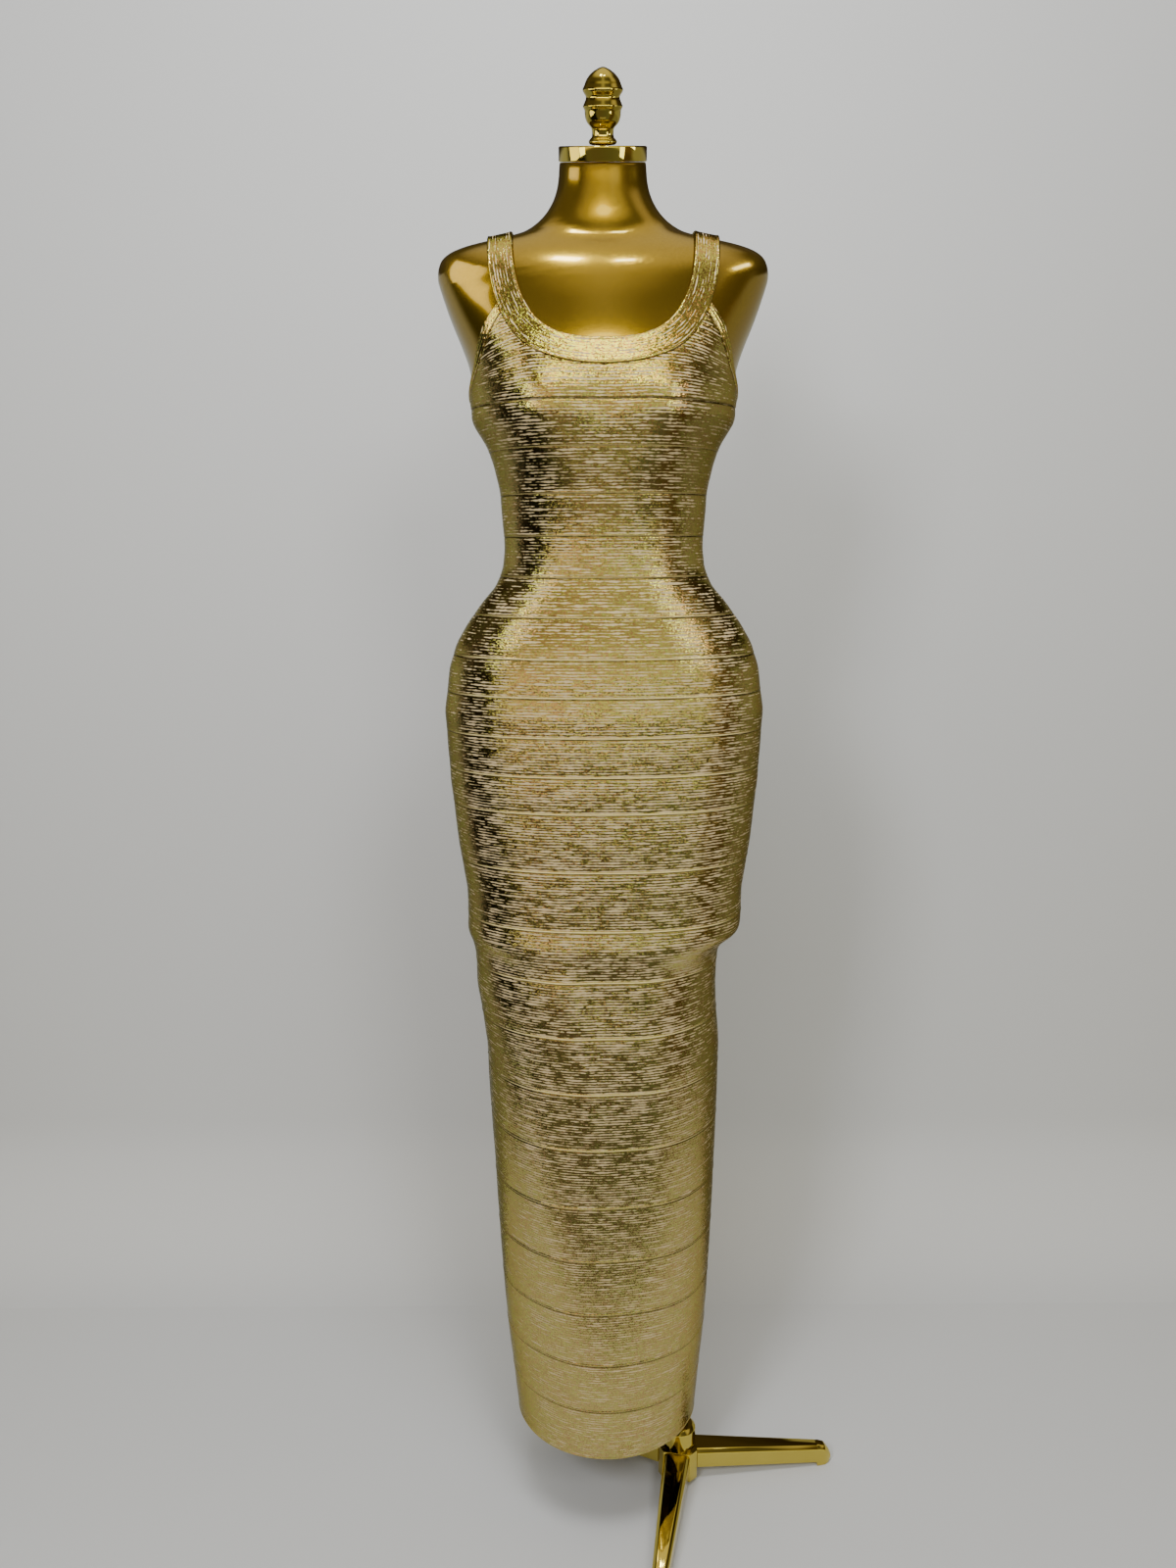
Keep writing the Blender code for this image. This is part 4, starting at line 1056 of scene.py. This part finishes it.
def paper_sheet(name, line):
    points = [(side * PAPER_HALF_WIDTH, y, z) for y, z in line for side in (-1, 1)]
    faces = [(2 * k, 2 * k + 1, 2 * k + 3, 2 * k + 2) for k in range(len(line) - 1)]
    sheet = mesh_piece(name, points, faces)
    sheet.data.materials.append(paper_finish)
    return sheet


paper_finish, shader, fill, node, maths, ramp, mix = new_finish("pale_paper")
fill(shader, {"Base Color": PAPER_COLOUR, "Roughness": PAPER_ROUGHNESS})
# seen from behind it isn't there, so the part shows from all round
paper_surface = node("ShaderNodeMixShader", {
    0: node("ShaderNodeNewGeometry").outputs["Backfacing"], 1: shader.outputs[0],
    2: node("ShaderNodeBsdfTransparent").outputs[0]})
fill(paper_finish.node_tree.nodes["Material Output"], {"Surface": paper_surface.outputs[0]})

# a roll of pale paper: the floor under the part, and bent up behind it into a wall
bend = [(PAPER_BACK - PAPER_BEND + PAPER_BEND * math.sin(t), PAPER_BEND * (1 - math.cos(t)))
        for t in np.linspace(0, math.pi / 2, PAPER_BEND_POINTS)]
paper_sheet("paper_floor", [(PAPER_FRONT, 0.0), bend[0]])
paper_sheet("paper_wall", bend + [(PAPER_BACK, PAPER_TOP)]).visible_glossy = False


def softbox(name, azimuth, distance, height, size, power, aim_height, colour=(1.0, 1.0, 1.0)):
    """An area lamp in front of the part: azimuth 0 is at the camera, positive to +X."""
    angle = math.radians(azimuth)
    place = Vector((FORM_AXIS[0] + distance * math.sin(angle),
                    FORM_AXIS[1] - distance * math.cos(angle), height))
    light = bpy.data.lights.new(name, "AREA")
    light.shape = "RECTANGLE"
    light.size, light.size_y = size
    light.energy = power
    light.color = colour
    lamp = bpy.data.objects.new(name, light)
    bpy.context.scene.collection.objects.link(lamp)
    lamp.location = place
    aim = Vector((*FORM_CENTRE, aim_height))
    lamp.rotation_euler = (aim - place).to_track_quat("-Z", "Y").to_euler()
    return lamp


# What the metal sees, by azimuth: 180 is straight in front, less is to the left as seen. The tables
# are for low directions, level ones, high ones, the bank of lamps above them and steep ones, each
# row an azimuth and a colour.
ROOM_LOW = ((70, 0.31, 0.32, 0.30), (84, 0.01, 0.01, 0.01), (128, 0.01, 0.01, 0.01),
            (138, 0.14, 0.13, 0.10), (160, 0.14, 0.12, 0.10), (200, 0.14, 0.14, 0.11),
            (226, 0.17, 0.17, 0.13), (240, 0.11, 0.07, 0.03), (256, 0.10, 0.07, 0.03),
            (270, 0.24, 0.23, 0.18))
ROOM_LEVEL = ((70, 0.42, 0.43, 0.40), (84, 0.010, 0.008, 0.006), (127, 0.010, 0.008, 0.006),
              (133, 1.60, 1.32, 1.00), (146, 1.30, 1.05, 0.82), (170, 1.05, 0.88, 0.64),
              (190, 1.00, 1.02, 0.70), (215, 0.85, 0.88, 0.60), (231, 1.10, 1.10, 0.76),
              (238, 0.18, 0.115, 0.05), (256, 0.15, 0.095, 0.045), (268, 0.34, 0.33, 0.26))
ROOM_HIGH = ((10, 0.03, 0.02, 0.01), (62, 0.05, 0.045, 0.03), (76, 0.12, 0.11, 0.08),
             (88, 0.03, 0.025, 0.02), (122, 0.04, 0.03, 0.02), (138, 0.28, 0.22, 0.13),
             (152, 0.42, 0.35, 0.21), (192, 0.42, 0.36, 0.24), (205, 0.90, 0.83, 0.58),
             (218, 0.90, 0.83, 0.58), (228, 0.25, 0.20, 0.12), (240, 0.10, 0.07, 0.03),
             (258, 0.07, 0.05, 0.02), (268, 0.14, 0.12, 0.09), (284, 0.03, 0.02, 0.01))
ROOM_BANK = ((62, 0.05, 0.04, 0.03), (76, 0.12, 0.11, 0.08), (88, 0.03, 0.025, 0.02),
             (122, 0.04, 0.03, 0.02), (138, 0.30, 0.24, 0.14), (152, 0.55, 0.48, 0.31),
             (212, 0.60, 0.53, 0.35), (228, 0.25, 0.20, 0.12), (242, 0.10, 0.07, 0.03),
             (284, 0.04, 0.03, 0.015))
ROOM_STEEP = ((40, 0.05, 0.04, 0.02), (60, 0.10, 0.08, 0.05), (118, 0.10, 0.08, 0.05),
              (165, 0.16, 0.14, 0.10), (181, 0.50, 0.46, 0.32), (197, 0.16, 0.14, 0.10),
              (228, 0.10, 0.09, 0.065), (245, 0.60, 0.52, 0.38), (262, 0.60, 0.52, 0.38),
              (285, 0.06, 0.045, 0.03))
OVERHEAD = (0.90, 0.80, 0.55)
LEVEL_RISE = (-0.14, -0.03)    # sines of the elevations over which each table gives way to the next
HIGH_RISE = (0.19, 0.28)
BANK_RISE = (0.35, 0.45)
STEEP_RISE = (0.48, 0.60)
OVERHEAD_RISE = (0.76, 0.97)

# Lamps: name, azimuth, distance, height, size, power, the height they aim at and their colour.
# The metal doesn't mirror the soft lamps for the cloth and the paper, but the room above.
CLOTH_LAMPS = (
    ("left_light", -24, 2.3, 2.2, (0.5, 0.7), 38, 1.2),
    ("right_light", 16, 2.4, 2.4, (0.6, 0.7), 24, 1.2, (1.0, 0.97, 0.92)),
    ("ceiling_light", 0, 0.9, 2.9, (1.0, 0.6), 34, 0.9),
)
CEILING_PANELS = (
    ("ceiling_panel_left", -24, 0.42, 2.8, (0.16, 0.12), 2.2, 1.5),
    ("ceiling_strip_right", 16, 0.45, 2.8, (0.10, 0.03), 0.7, 1.5),
)
# close panels that only the metal sees: beside the shoulders, before the neckline, the waist and
# to both sides of the hips
METAL_PANELS = (
    ("shoulder_panel", -75, 0.38, 1.64, (0.20, 0.20), 0.33, 1.5, (1.0, 0.90, 0.60)),
    ("neckline_panel", 0, 0.55, 1.68, (0.80, 0.12), 1.5, 1.42, (1.0, 0.92, 0.40)),
    ("waist_panel", 0, 0.6, 1.06, (0.55, 0.14), 0.085, 1.25, (1.0, 0.88, 0.58)),
    ("shoulder_strip", 76, 0.34, 1.66, (0.10, 0.03), 0.07, 1.5),
    ("hip_panel_left", -54, 0.9, 1.54, (0.24, 0.20), 0.70, 1.12, (1.0, 0.97, 0.70)),
    ("hip_panel_right", 50, 0.9, 1.50, (0.20, 0.26), 0.70, 1.12, (1.0, 0.98, 0.74)),
)
for row in CLOTH_LAMPS:
    softbox(*row).visible_glossy = False
for row in CEILING_PANELS:
    softbox(*row)
for row in METAL_PANELS:
    panel = softbox(*row)
    panel.visible_camera = False
    panel.visible_diffuse = False

world = bpy.data.worlds.new("studio_surround")
bpy.context.scene.world = world
world.use_nodes = True
fill, node, maths, ramp, mix = node_tools(world.node_tree)
direction = node("ShaderNodeSeparateXYZ", {0: node("ShaderNodeTexCoord").outputs["Generated"]}).outputs
# 180 degrees is straight in front of the dress, 90 to its left as seen and 270 to its right
turn = maths("ARCTAN2", direction[0], maths("MULTIPLY", direction[1], -1.0))
turn = maths("ADD", 0.5, maths("DIVIDE", turn, 2 * math.pi))


def room_light(table):
    return ramp(turn, [(azimuth / 360, colour) for azimuth, *colour in table])


room = room_light(ROOM_LOW)
for (start, end), above in (
    (LEVEL_RISE, room_light(ROOM_LEVEL)), (HIGH_RISE, room_light(ROOM_HIGH)),
    (BANK_RISE, room_light(ROOM_BANK)), (STEEP_RISE, room_light(ROOM_STEEP)),
    (OVERHEAD_RISE, OVERHEAD),
):
    share = node("ShaderNodeMapRange", {"Value": direction[2], "From Min": start, "From Max": end},
                 interpolation_type="SMOOTHSTEP").outputs[0]
    room = mix(share, room, above)
seen = node("ShaderNodeLightPath").outputs["Is Camera Ray"]
fill(world.node_tree.nodes["Background"], {"Color": mix(seen, room, BEYOND_PAPER), "Strength": 1.0})

CAMERA_PLACE = (-0.019, -1.40, 1.215)    # from the form's axis, at the floor
CAMERA_PITCH = 11.14
CAMERA_ROLL = -0.27
CAMERA_LENS = 27.6
CAMERA_SENSOR = 36
camera_data = bpy.data.cameras.new("photo_camera")
camera = bpy.data.objects.new("photo_camera", camera_data)
bpy.context.scene.collection.objects.link(camera)
camera_data.sensor_fit = "VERTICAL"
camera_data.sensor_height = CAMERA_SENSOR
camera_data.lens = CAMERA_LENS
camera.matrix_world = (
    Matrix.Translation(Vector(FORM_AXIS + CAMERA_PLACE))
    @ Matrix.Rotation(math.radians(90 - CAMERA_PITCH), 4, "X")
    @ Matrix.Rotation(math.radians(CAMERA_ROLL), 4, "Z"))
bpy.context.scene.camera = camera
